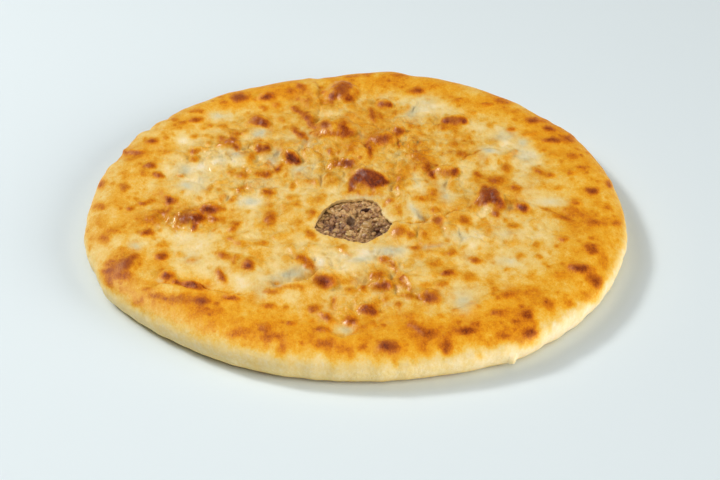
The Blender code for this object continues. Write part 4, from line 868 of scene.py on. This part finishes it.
    # underside: browned by the hot floor of the oven
    floor_tone = 0.40 + 0.10 * fbm(P[:, 0], P[:, 1], 20.0, 96, 3) + 0.22 * smooth(0.30, 0.06, cells(P[:, 0], P[:, 1], 17.0, 97)[0])
    tone = np.where(K == 0, floor_tone, tone)
    tone = np.where(K == 1, tone + (floor_tone - tone) * smooth(2.2, 0.2, P[:, 2]), tone)
    # painted shade: the cut wall at the back left of the vent is darker, where it lies in shade; the rest of the wall
    # stays pale
    back_left_shade = np.exp(-(((np.degrees(vent_angle) - 146.0) / 38.0) ** 2))
    tone = np.where(K == 4, 0.12 + 0.70 * back_left_shade, tone)
    tone = np.where(K == 5, 0.08, tone)

    thin = np.zeros_like(qx)
    for x, y, a, b, turn, s in THIN:
        thin = np.maximum(thin, s * np.exp(-0.8 * ellipse(qx, qy, x, y, a, b, turn)))
    thin = thin * (0.75 + 0.5 * fbm(qx, qy, 6.0, 98, 2)) * facing
    crease = smooth(0.22, 0.02, big) * smooth(-0.1, 0.4, fbm(ux, uy, 16.0, 119, 2)) * rough
    thin = thin * 1.45 + 0.22 * smooth(0.1, 0.6, fbm(ux, uy, 20.0, 99, 3)) * smooth(26, 50, inset) + 0.4 * crease
    thin = np.clip(thin, 0, 1) * smooth(0.62, 0.40, tone) * np.where(K == 3, 1.0, 0.0)
    # painted sheen: the purple-brown mix on the darkest blisters stands in for their glossy highlight
    plum = np.zeros_like(qx)
    for x, y, a, b, turn, s in PAINTED_PLUM_SHEEN:
        plum = np.maximum(plum, s * np.exp(-0.7 * ellipse(qx, qy, x, y, a, b, turn) ** 1.2))
    plum = plum * facing * smooth(0.5, 0.72, tone) * np.where(outside, 1.0, 0.0)
    orange = np.where(outside, smooth(52.0, 26.0, inset + 7.0 * fbm(ux, uy, 18.0, 100, 2)), 0.3) * 0.9
    orange = np.where(K == 1, 0.4, orange)
    orange = orange * (1.0 - 0.85 * smooth(-70.0, -142.0, P[:, 0]) * facing)
    cut = np.where(K == 4, 1.0, 0.0)
    wet = np.clip(0.10 + 0.80 * rough, 0, 1) * (1.0 - 0.75 * spot) * smooth(0.15, 0.35, tone) * np.where(outside, 1.0, 0.0)
    body = make_mesh(
        "baked_crust",
        Q,
        F,
        {"brown": np.clip(tone, 0, 1), "thin": thin, "plum": plum, "orange": orange, "wet": wet, "cut": cut, "rough": rough},
    )
    return body


# =====================================================================================
# Node helpers
# =====================================================================================
def srgb(r, g, b):
    def one(c):
        c /= 255.0
        return c / 12.92 if c <= 0.04045 else ((c + 0.055) / 1.055) ** 2.4
    return (one(r), one(g), one(b), 1.0)


class Nodes:
    def __init__(self, name):
        self.mat = bpy.data.materials.new(name)
        self.mat.use_nodes = True
        self.tree = self.mat.node_tree
        self.shader = self.tree.nodes["Principled BSDF"]
        self.coords = self.tree.nodes.new("ShaderNodeTexCoord")

    def new(self, kind, **props):
        node = self.tree.nodes.new(kind)
        for key, value in props.items():
            setattr(node, key, value)
        return node

    def link(self, a, b):
        self.tree.links.new(a, b)

    def attribute(self, name):
        node = self.new("ShaderNodeAttribute", attribute_name=name)
        return node.outputs["Fac"]

    def deep_coords(self):
        """Object coordinates with patterns stretched from front to back."""
        node = self.new("ShaderNodeVectorMath", operation="MULTIPLY")
        self.link(self.coords.outputs["Object"], node.inputs[0])
        node.inputs[1].default_value = (1.0, DEEP, 1.0)
        return node.outputs["Vector"]

    def noise(self, size_mm, detail=3.0, rough=0.55, distortion=0.0, kind="noise", coords=None):
        if kind == "noise":
            node = self.new("ShaderNodeTexNoise")
            node.inputs["Detail"].default_value = detail
            node.inputs["Roughness"].default_value = rough
            node.inputs["Distortion"].default_value = distortion
        else:
            node = self.new("ShaderNodeTexVoronoi")
        node.inputs["Scale"].default_value = 1000.0 / size_mm
        self.link(coords or self.coords.outputs["Object"], node.inputs["Vector"])
        return node.outputs["Fac" if kind == "noise" else "Distance"]

    def math(self, op, a, b=None, c=None, clamp=False):
        node = self.new("ShaderNodeMath", operation=op, use_clamp=clamp)
        for i, v in enumerate((a, b, c)):
            if v is None:
                continue
            if isinstance(v, (int, float)):
                node.inputs[i].default_value = v
            else:
                self.link(v, node.inputs[i])
        return node.outputs[0]

    def remap(self, value, a, b, c, d, smoothly=False):
        node = self.new("ShaderNodeMapRange", interpolation_type="SMOOTHSTEP" if smoothly else "LINEAR")
        self.link(value, node.inputs["Value"])
        for key, v in (("From Min", a), ("From Max", b), ("To Min", c), ("To Max", d)):
            node.inputs[key].default_value = v
        return node.outputs["Result"]

    def ramp(self, value, stops):
        node = self.new("ShaderNodeValToRGB")
        ramp = node.color_ramp
        while len(ramp.elements) > 1:
            ramp.elements.remove(ramp.elements[-1])
        ramp.elements[0].position = stops[0][0]
        ramp.elements[0].color = srgb(*stops[0][1])
        for pos, colour in stops[1:]:
            ramp.elements.new(pos).color = srgb(*colour)
        self.link(value, node.inputs["Fac"])
        return node.outputs["Color"]

    def mix(self, fac, a, b, blend="MIX"):
        node = self.new("ShaderNodeMix", data_type="RGBA", blend_type=blend)
        for socket, v in ((node.inputs["Factor"], fac), (node.inputs["A"], a), (node.inputs["B"], b)):
            pass
        fac_in = [s for s in node.inputs if s.name == "Factor" and s.type == "VALUE"][0]
        a_in = [s for s in node.inputs if s.name == "A" and s.type == "RGBA"][0]
        b_in = [s for s in node.inputs if s.name == "B" and s.type == "RGBA"][0]
        for socket, v in ((fac_in, fac), (a_in, a), (b_in, b)):
            if isinstance(v, (int, float)):
                socket.default_value = v
            elif isinstance(v, tuple):
                socket.default_value = v
            else:
                self.link(v, socket)
        return [s for s in node.outputs if s.type == "RGBA"][0]

    def bump(self, height, strength, distance_mm, after=None):
        node = self.new("ShaderNodeBump")
        node.inputs["Strength"].default_value = strength
        node.inputs["Distance"].default_value = distance_mm * 0.001
        self.link(height, node.inputs["Height"])
        if after is not None:
            self.link(after, node.inputs["Normal"])
        return node.outputs["Normal"]


GOLDEN = (
    (0.00, (248, 232, 196)), (0.14, (242, 215, 150)), (0.28, (236, 200, 116)), (0.42, (231, 176, 64)),
    (0.56, (220, 148, 24)), (0.70, (198, 115, 8)), (0.83, (170, 84, 3)), (0.92, (138, 57, 2)), (1.00, (100, 35, 1)),
)
ORANGE = (
    (0.00, (249, 233, 198)), (0.14, (244, 215, 146)), (0.28, (242, 197, 90)), (0.42, (238, 173, 40)),
    (0.56, (229, 149, 16)), (0.70, (208, 119, 13)), (0.83, (175, 89, 8)), (0.92, (145, 64, 5)), (1.00, (110, 43, 4)),
)


def crust_material():
    n = Nodes("baked_dough_look")
    brown, orange = n.attribute("brown"), n.attribute("orange")
    thin, plum, wet, cut, rough = (n.attribute(k) for k in ("thin", "plum", "wet", "cut", "rough"))
    deep = n.deep_coords()
    mottle = n.noise(5.2, 4.0, 0.62, 0.4, coords=deep)
    grain = n.noise(1.4, 3.0, 0.65, coords=deep)
    dots = n.noise(0.75, 2.0, 0.5, coords=deep)
    baked = n.remap(brown, 0.14, 0.36, 0.40, 1.0)
    fine = n.math("MULTIPLY_ADD", n.math("SUBTRACT", dots, 0.5), 0.24, n.math("MULTIPLY", n.math("SUBTRACT", grain, 0.5), 0.32))
    wobble = n.math("MULTIPLY_ADD", n.math("SUBTRACT", mottle, 0.5), 0.36, fine)
    tone = n.math("ADD", brown, n.math("MULTIPLY", wobble, baked), clamp=True)
    colour = n.mix(orange, n.ramp(tone, GOLDEN), n.ramp(tone, ORANGE))
    # thin dough lets the grey-green filling through
    colour = n.mix(n.math("MULTIPLY", thin, 0.92), colour, srgb(201, 198, 168))
    # painted sheen: the plum mask paints the purple-brown highlight of the darkest blisters
    colour = n.mix(n.math("MULTIPLY", plum, 0.40), colour, srgb(120, 60, 42))
    # the cut wall's colour runs from pale dough to dark olive-brown; its dark part is painted shade
    colour = n.mix(cut, colour, n.mix(brown, srgb(236, 200, 132), srgb(116, 88, 42)))
    p = n.shader
    n.link(colour, p.inputs["Base Color"])
    n.link(n.remap(wet, 0.0, 1.0, 0.50, 0.22), p.inputs["Roughness"])
    n.link(n.remap(wet, 0.1, 1.0, 0.0, 0.58), p.inputs["Coat Weight"])
    p.inputs["Coat Roughness"].default_value = 0.15
    p.inputs["Specular IOR Level"].default_value = 0.21
    p.inputs["Subsurface Weight"].default_value = 0.08
    p.inputs["Subsurface Radius"].default_value = (1.0, 0.5, 0.2)
    p.inputs["Subsurface Scale"].default_value = 0.0016
    skin = n.noise(3.0, 3.0, 0.6, 0.5, coords=deep)
    normal = n.bump(skin, 0.8, 0.7)
    pores = n.noise(1.1, 2.0, 0.6)
    normal = n.bump(pores, 0.7, 0.34, normal)
    wrinkle = n.noise(3.4, 2.0, 0.5, 0.8, coords=deep)
    normal = n.bump(n.math("MULTIPLY", wrinkle, rough), 1.0, 1.2, normal)
    n.link(normal, p.inputs["Normal"])
    return n.mat


# =====================================================================================
# Meat
# =====================================================================================
# Lumps and hollows of the mince: x, y, half width, half depth, height
MEAT_LUMPS = (
    (-7.8, -17.4, 5.2, 7.4, 2.3), (7.6, -16.0, 8.0, 8.4, 2.1), (14.0, -26.0, 5.0, 5.0, 1.1), (5.4, -34.6, 4.2, 4.0, 1.2), (2.6, -42.6, 5.0, 2.6, 0.9),
    (-17.0, -17.0, 4.6, 3.6, 0.9), (-22.5, -33.0, 3.4, 4.0, 0.9), (-2.0, -7.0, 9.0, 3.0, 0.6), (18.0, -30.5, 4.0, 5.0, 1.2), (-8.0, -41.0, 5.0, 2.4, 0.7),
    (-0.8, -18.5, 1.8, 6.0, -1.7), (4.8, -17.6, 3.1, 1.3, -4.4), (-4.4, -28.0, 3.0, 3.0, -2.9), (-15.0, -32.5, 6.0, 3.6, -1.2), (12.6, -38.0, 4.2, 4.4, -1.7),
    (9.4, -30.6, 1.7, 3.4, -1.1), (-1.4, -33.4, 2.6, 1.8, -1.3), (-11.5, -37.0, 2.4, 1.6, -1.4), (19.0, -27.0, 1.8, 2.2, -1.2), (-20.5, -28.5, 1.8, 1.4, -1.1),
)


# Dark hollows, painted shade in the deep holes of the mince: x, y, half width, half depth, strength
MEAT_SHADE_HOLES = (
    (4.8, -16.6, 3.0, 1.3, 1.0), (-4.4, -26.4, 2.7, 2.8, .8), (-4.0, -30.4, 3.4, 1.8, .5), (-12.0, -30.2, 2.2, 1.3, .6),
    (-17.6, -31.6, 1.6, 1.4, .7), (-9.8, -35.4, 1.8, 1.2, .6), (11.4, -36.2, 1.5, 2.4, .7), (-1.0, -32.6, 2.2, 1.2, .5), (15.4, -37.2, 1.6, 1.5, .6),
    (9.2, -40.8, 1.6, 1.2, .6), (-21.4, -27.6, 1.2, 1.5, .5), (-13.2, -23.6, 1.5, 1.3, .45), (13.4, -15.0, 1.3, 1.1, .35), (-0.8, -18.5, 1.1, 5.0, .35), (4.0, -25.6, 4.6, 0.9, .45), (14.6, -20.6, 1.0, 3.0, .4),
    (2.0, -29.4, 1.3, 1.0, .4), (-9.6, -27.8, 1.5, 1.1, .45), (9.6, -28.4, 1.2, 1.6, .5), (-3.2, -38.6, 2.0, 1.0, .5),
)


def meat_surface(x, y):
    """Height of the crumbled mince seen in the vent, with a few deep holes."""
    d, _, num = cells(x + 1.2 * perlin(x, y, 5.0, 206), y + 1.2 * perlin(x, y, 5.0, 207), 7.2, 201)
    lumps = (1.0 - smooth(0.0, 0.85, d)) * (0.5 + num)
    d2, _, num2 = cells(x, y, 2.3, 202)
    fine = (1.0 - smooth(0.0, 0.75, d2)) * (0.4 + num2)
    height = 17.9 + 0.05 * (y + 29.0) + 1.15 * lumps + 0.55 * fine + 0.40 * fbm(x, y, 9.0, 203, 2) + 0.50 * perlin(x, y, 2.6, 205) + 0.26 * perlin(x, y, 1.2, 204)
    for hx, hy, ha, hb, hd in MEAT_LUMPS:
        height = height + hd * np.exp(-1.2 * (((x - hx) / ha) ** 2 + ((y - hy) / hb) ** 2) ** 1.2)
    return height


def build_meat_core():
    TAU = 2.0 * math.pi
    pts, rings, count = [], [], [0]

    def add(x, y, z):
        rings.append((count[0], len(x)))
        pts.append(np.stack([x, y, z + 0.0 * x], -1))
        count[0] += len(x)

    n = 130
    a = TAU * np.arange(n) / n
    gap = 0.35
    for ins, z in ((SIDE_DOUGH + 6.3, FLOOR_DOUGH + gap), (SIDE_DOUGH + 3.0, FLOOR_DOUGH + 2.0), (SIDE_DOUGH + 0.6, SIDE_WIDEST + 0.4)):
        r = outline(a) - ins
        add(r * np.cos(a), r * np.sin(a), z)
    r = outline(a) - SIDE_DOUGH - 7.0
    x, y = r * np.cos(a), r * np.sin(a)
    add(x, y, lid_base(x, y) - LID_DOUGH - 1.2)
    for share in (0.85, 0.6, 0.35, 0.15, 0.06):
        o = outline(a) - SHOULDER
        h = vent_reach(a)
        hx, hy = VENT[0] + h * np.cos(a), VENT[1] + h * np.sin(a)
        x, y = hx + (o * np.cos(a) - hx) * share, hy + (o * np.sin(a) - hy) * share
        add(x, y, lid_base(x, y) - LID_DOUGH - 0.45)
    steps = 66
    for k in range(steps):
        share = 1.03 - k / steps
        n = max(10, int(TAU * 23.0 * share / 0.38))
        a = TAU * np.arange(n) / n
        h = vent_reach(a) * share
        x, y = VENT[0] + h * np.cos(a), VENT[1] + h * np.sin(a)
        under = lid_base(x, y) - LID_DOUGH - 0.35
        z = meat_surface(x, y)
        low = 1.2 * np.exp(-(((np.degrees(a) - 146.0) / 38.0) ** 2))
        z = np.minimum(z, under + (0.0 if share > 1.0 else 1.0 - low + (2.0 + low) * min(1.0, (1.0 - share) / 0.10)))
        add(x, y, z)
    faces = []
    for (a0, na), (b0, nb) in zip(rings[:-1], rings[1:]):
        zip_rings(a0, na, b0, nb, faces)
    total = count[0]
    pts.append(np.array([[0.0, 0.0, FLOOR_DOUGH + gap]]))
    c = np.array([[VENT[0], VENT[1], 0.0]])
    c[0, 2] = meat_surface(np.array([VENT[0]]), np.array([VENT[1]]))[0]
    pts.append(c)
    f0, n0 = rings[0]
    faces += [(total, f0 + (k + 1) % n0, f0 + k) for k in range(n0)]
    f1, n1 = rings[-1]
    faces += [(total + 1, f1 + k, f1 + (k + 1) % n1) for k in range(n1)]
    P = np.concatenate(pts)
    F = np.array(faces)
    x, y = P[:, 0], P[:, 1]
    d, s, num = cells(x + 1.2 * perlin(x, y, 5.0, 206), y + 1.2 * perlin(x, y, 5.0, 207), 7.2, 201)
    d2, s2, num2 = cells(x, y, 2.3, 202)
    # painted shade: darker in the cracks between crumbs, where the mince lies low and in the listed holes
    crack_shade = smooth(0.6, 1.0, d) * 0.8 + smooth(0.55, 0.95, d2) * 0.8
    pit_shade = smooth(17.0, 15.0, P[:, 2])
    for hx, hy, ha, hb, strength in MEAT_SHADE_HOLES:
        pit_shade = np.maximum(pit_shade, strength * smooth(1.7, 0.5, ((x - hx) / ha) ** 2 + ((y - hy) / hb) ** 2))
    tan = np.zeros_like(x)
    for hx, hy, ha, hb, amount in ((-7.6, -16.0, 6.2, 7.6, .48), (8.4, -15.6, 8.4, 8.4, .34), (-17.5, -17.0, 5.4, 3.6, .7), (5.4, -34.0, 4.4, 4.2, .55), (2.0, -42.0, 6.4, 3.0, .5), (14.0, -25.0, 5.4, 4.4, .40), (-23.0, -33.0, 3.4, 4.0, .7), (-8.0, -40.0, 4.0, 2.4, .4)):
        tan = np.maximum(tan, amount * np.exp(-0.8 * (((x - hx) / ha) ** 2 + ((y - hy) / hb) ** 2)))
    plum = np.zeros_like(x)
    for hx, hy, ha, hb, amount in ((-14.5, -33.5, 8.6, 5.4, 1.0), (13.4, -38.0, 6.0, 6.0, 1.0), (-15.0, -25.5, 5.0, 3.6, .6), (19.5, -32.0, 3.0, 3.6, .3), (14.0, -10.0, 5.0, 4.0, .45)):
        plum = np.maximum(plum, amount * np.exp(-0.8 * (((x - hx) / ha) ** 2 + ((y - hy) / hb) ** 2)))
    tone = 0.22 + 0.30 * num + 0.20 * num2 + 0.22 * fbm(x, y, 3.0, 213, 2) + tan - 0.34 * plum
    return make_mesh("minced_filling", P, F, {"tone": np.clip(tone, 0, 1), "hollow_shade": np.clip(crack_shade * 0.5 + pit_shade, 0, 1), "plum": plum})


def blob(rng, rings_n=7, seg=10):
    """A small irregular crumb of unit size: points and triangles."""
    pts, faces = [], []
    phase = rng.uniform(0, 100, 3)
    for i in range(1, rings_n):
        th = math.pi * i / rings_n
        for j in range(seg):
            ph = 2 * math.pi * j / seg
            pts.append((math.sin(th) * math.cos(ph), math.sin(th) * math.sin(ph), math.cos(th)))
    pts.append((0, 0, 1.0)); pts.append((0, 0, -1.0))
    p = np.array(pts)
    k = 1.0 + 0.42 * perlin(p[:, 0] + phase[0], p[:, 1] + p[:, 2] + phase[1], 0.9, 211) + 0.20 * perlin(p[:, 2] + phase[2], p[:, 0] - p[:, 1], 0.4, 212)
    p = p * k[:, None]
    top, bottom = len(pts) - 2, len(pts) - 1
    for i in range(rings_n - 2):
        for j in range(seg):
            a, b = i * seg + j, i * seg + (j + 1) % seg
            c, d = a + seg, b + seg
            faces += [(a, c, b), (b, c, d)]
    for j in range(seg):
        faces.append((top, j, (j + 1) % seg))
        last = (rings_n - 2) * seg
        faces.append((bottom, last + (j + 1) % seg, last + j))
    return p, np.array(faces)


def turn_matrix(rng):
    e = Euler(rng.uniform(0, 2 * math.pi, 3).tolist())
    return np.array(e.to_matrix())


def scatter(name, count, size, flat, seed, reach=0.92, sink=0.35, places=None):
    """Joined crumbs lying on the mince in the vent. size and flat are ranges."""
    rng = np.random.RandomState(seed)
    all_p, all_f, tones, base = [], [], [], 0
    made = 0
    while made < count:
        if places is not None:
            x, y = places[made][:2]
            s = places[made][2]
        else:
            a = rng.uniform(0, 2 * math.pi)
            r = math.sqrt(rng.uniform(0, 1)) * reach
            h = float(vent_reach(np.array([a]))[0]) * r
            x, y = VENT[0] + h * math.cos(a), VENT[1] + h * math.sin(a)
            s = rng.uniform(*size)
            if any(h[4] > 0.72 and ((x - h[0]) / (h[2] + s)) ** 2 + ((y - h[1]) / (h[3] + s)) ** 2 < 1.0 for h in MEAT_SHADE_HOLES):
                continue
        p, f = blob(rng)
        scale = np.array([1.0, rng.uniform(0.55, 0.95), rng.uniform(*flat)]) * s
        q = p * scale
        tilt = np.array(Euler((rng.uniform(-0.7, 0.7), rng.uniform(-0.7, 0.7), rng.uniform(0, 2 * math.pi))).to_matrix())
        q = q @ tilt.T
        z = float(meat_surface(np.array([x]), np.array([y]))[0])
        low = -q[:, 2].min()
        q = q + np.array([x, y, z + low * (1.0 - 2 * sink)])
        # never into the wall of the vent
        ang = np.arctan2(q[:, 1] - VENT[1], q[:, 0] - VENT[0])
        rr = np.hypot(q[:, 0] - VENT[0], q[:, 1] - VENT[1])
        if (rr > vent_reach(ang) - 0.15).any():
            if places is None:
                continue
            pull = np.minimum(1.0, (vent_reach(ang) - 0.2) / rr)
            q[:, 0] = VENT[0] + (q[:, 0] - VENT[0]) * pull
            q[:, 1] = VENT[1] + (q[:, 1] - VENT[1]) * pull
        all_p.append(q)
        all_f.append(f + base)
        tones.append(np.full(len(q), rng.uniform(0, 1)))
        base += len(q)
        made += 1
    return make_mesh(name, np.concatenate(all_p), np.concatenate(all_f), {"tone": np.concatenate(tones)})


def meat_material(name, stops, rough, coat, bump_mm, use_dark):
    n = Nodes(name)
    tone = n.attribute("tone")
    fine = n.noise(1.3, 4.0, 0.65)
    value = n.math("ADD", n.math("MULTIPLY", tone, 0.55), n.math("MULTIPLY", n.remap(fine, 0.3, 0.7, 0.0, 1.0), 0.45), clamp=True)
    colour = n.ramp(value, stops)
    if use_dark:
        purple = n.attribute("plum")
        colour = n.mix(n.math("MULTIPLY", purple, 0.60), colour, srgb(104, 72, 72))
        specks = n.remap(n.noise(1.1, 2.0, 0.5), 0.56, 0.68, 0.0, 0.75)
        colour = n.mix(n.math("MULTIPLY", specks, n.math("MULTIPLY_ADD", purple, 0.7, 0.3)), colour, srgb(196, 172, 148))
        clots = n.remap(n.noise(1.7, 3.0, 0.6), 0.36, 0.47, 0.42, 0.0)
        colour = n.mix(clots, colour, srgb(84, 48, 30))
        # painted shade in the cracks and hollows of the mince
        colour = n.mix(n.attribute("hollow_shade"), colour, srgb(66, 32, 12))
    n.link(colour, n.shader.inputs["Base Color"])
    n.link(n.remap(fine, 0.3, 0.7, rough + 0.1, rough - 0.1), n.shader.inputs["Roughness"])
    n.shader.inputs["Coat Weight"].default_value = coat
    n.shader.inputs["Specular IOR Level"].default_value = 0.3
    n.shader.inputs["Coat Roughness"].default_value = 0.2
    n.shader.inputs["Subsurface Weight"].default_value = 0.12
    n.shader.inputs["Subsurface Radius"].default_value = (1.0, 0.5, 0.3)
    n.shader.inputs["Subsurface Scale"].default_value = 0.0012
    normal = n.bump(n.noise(0.8, 3.0, 0.6), 0.7, bump_mm)
    n.link(normal, n.shader.inputs["Normal"])
    return n.mat


# =====================================================================================
# Build
# =====================================================================================
crust = build_crust_piece()
crust.data.materials.append(crust_material())
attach(crust, "root")
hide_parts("crust")

core = build_meat_core()
core.data.materials.append(meat_material("mince_look", (
    (0.0, (80, 46, 26)), (0.22, (128, 86, 52)), (0.45, (176, 130, 78)), (0.7, (214, 172, 112)), (1.0, (242, 214, 162))), 0.6, 0.06, 0.5, True))
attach(core, "root")
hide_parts("meat_filling")

crumbs = scatter("mince_crumbs", 110, (0.8, 2.3), (0.45, 0.80), 7, sink=0.42)
crumbs.data.materials.append(meat_material("mince_crumb_look", (
    (0.0, (104, 66, 52)), (0.3, (156, 112, 80)), (0.55, (194, 150, 98)), (0.8, (222, 186, 130)), (1.0, (244, 218, 172))), 0.45, 0.2, 0.35, False))
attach(crumbs, "root")

ONION_AT = (
    (5.8, -34.0, 3.2), (-5.2, -40.4, 2.8), (4.4, -43.0, 2.6), (-17.4, -19.1, 2.8), (-23.0, -33.2, 2.4), (0.3, -35.0, 2.2),
    (-21.5, -24.5, 1.8), (13.0, -24.5, 1.6), (-10.0, -28.6, 1.3), (-14.0, -37.6, 1.1), (9.8, -40.5, 1.2), (15.6, -32.0, 1.0),
    (7.5, -7.5, 1.4), (-8.0, -36.6, 1.2), (-11.0, -18.0, 1.6), (1.8, -21.0, 1.5),
)
onion = scatter("onion_bits", len(ONION_AT), (1.3, 2.7), (0.20, 0.34), 8, places=ONION_AT)
onion.data.materials.append(meat_material("onion_look", (
    (0.0, (156, 114, 62)), (0.5, (186, 146, 86)), (1.0, (212, 178, 116))), 0.4, 0.35, 0.12, False))
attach(onion, "root")

# =====================================================================================
# Stage: plain pale floor, soft studio light, camera
# =====================================================================================
bpy.ops.mesh.primitive_plane_add(size=8.0, location=(0, 0, 0))
floor = bpy.context.object
floor.name = "floor"
f = Nodes("floor_look")
f.shader.inputs["Base Color"].default_value = (0.745, 0.835, 0.89, 1.0)
f.shader.inputs["Roughness"].default_value = 0.9
f.shader.inputs["Specular IOR Level"].default_value = 0.1
floor.data.materials.append(f.mat)

world = bpy.data.worlds.new("studio") if not bpy.context.scene.world else bpy.context.scene.world
bpy.context.scene.world = world
world.use_nodes = True
bg = world.node_tree.nodes["Background"]
bg.inputs["Color"].default_value = (0.90, 0.95, 1.0, 1.0)
bg.inputs["Strength"].default_value = 0.13


def lamp(name, kind, towards, power, colour, size, at=None):
    """A soft light that shines from this direction."""
    light = bpy.data.lights.new(name, kind)
    light.energy = power
    light.color = colour
    if kind == "SUN":
        light.angle = math.radians(size)
    else:
        light.shape = "DISK"
        light.size = size
    body = bpy.data.objects.new(name, light)
    bpy.context.scene.collection.objects.link(body)
    direction = Vector(towards).normalized()
    body.location = at if at else direction * 2.0
    body.rotation_euler = direction.to_track_quat("Z", "Y").to_euler()
    return body


lamp("key_soft", "AREA", (-0.8, 0.25, 0.95), 5.8, (1.0, 0.985, 0.95), 0.8, at=(-0.8, 0.25, 0.95))
lamp("key_crisp", "SUN", (-0.70, 0.34, 0.62), 1.45, (1.0, 0.97, 0.92), 10)
lamp("front_high", "AREA", (0.1, -0.85, 1.2), 4.0, (1.0, 0.99, 0.97), 0.9, at=(0.1, -0.85, 1.2))
lamp("right_low", "SUN", (1.0, -0.45, 0.30), 2.8, (1.0, 0.94, 0.84), 40)

lens = bpy.data.cameras.new("camera")
lens.sensor_width = 36.0
lens.sensor_fit = "HORIZONTAL"
lens.lens = 1600.0 / 720.0 * 36.0
lens.clip_start = 0.05
camera = bpy.data.objects.new("camera", lens)
bpy.context.scene.collection.objects.link(camera)
camera.location = ((EYE - MIDDLE) * 0.001).tolist()
camera.rotation_euler = (math.pi / 2 - PITCH, 0.0, -YAW)
bpy.context.scene.camera = camera
bpy.context.scene.view_settings.view_transform = "Standard"
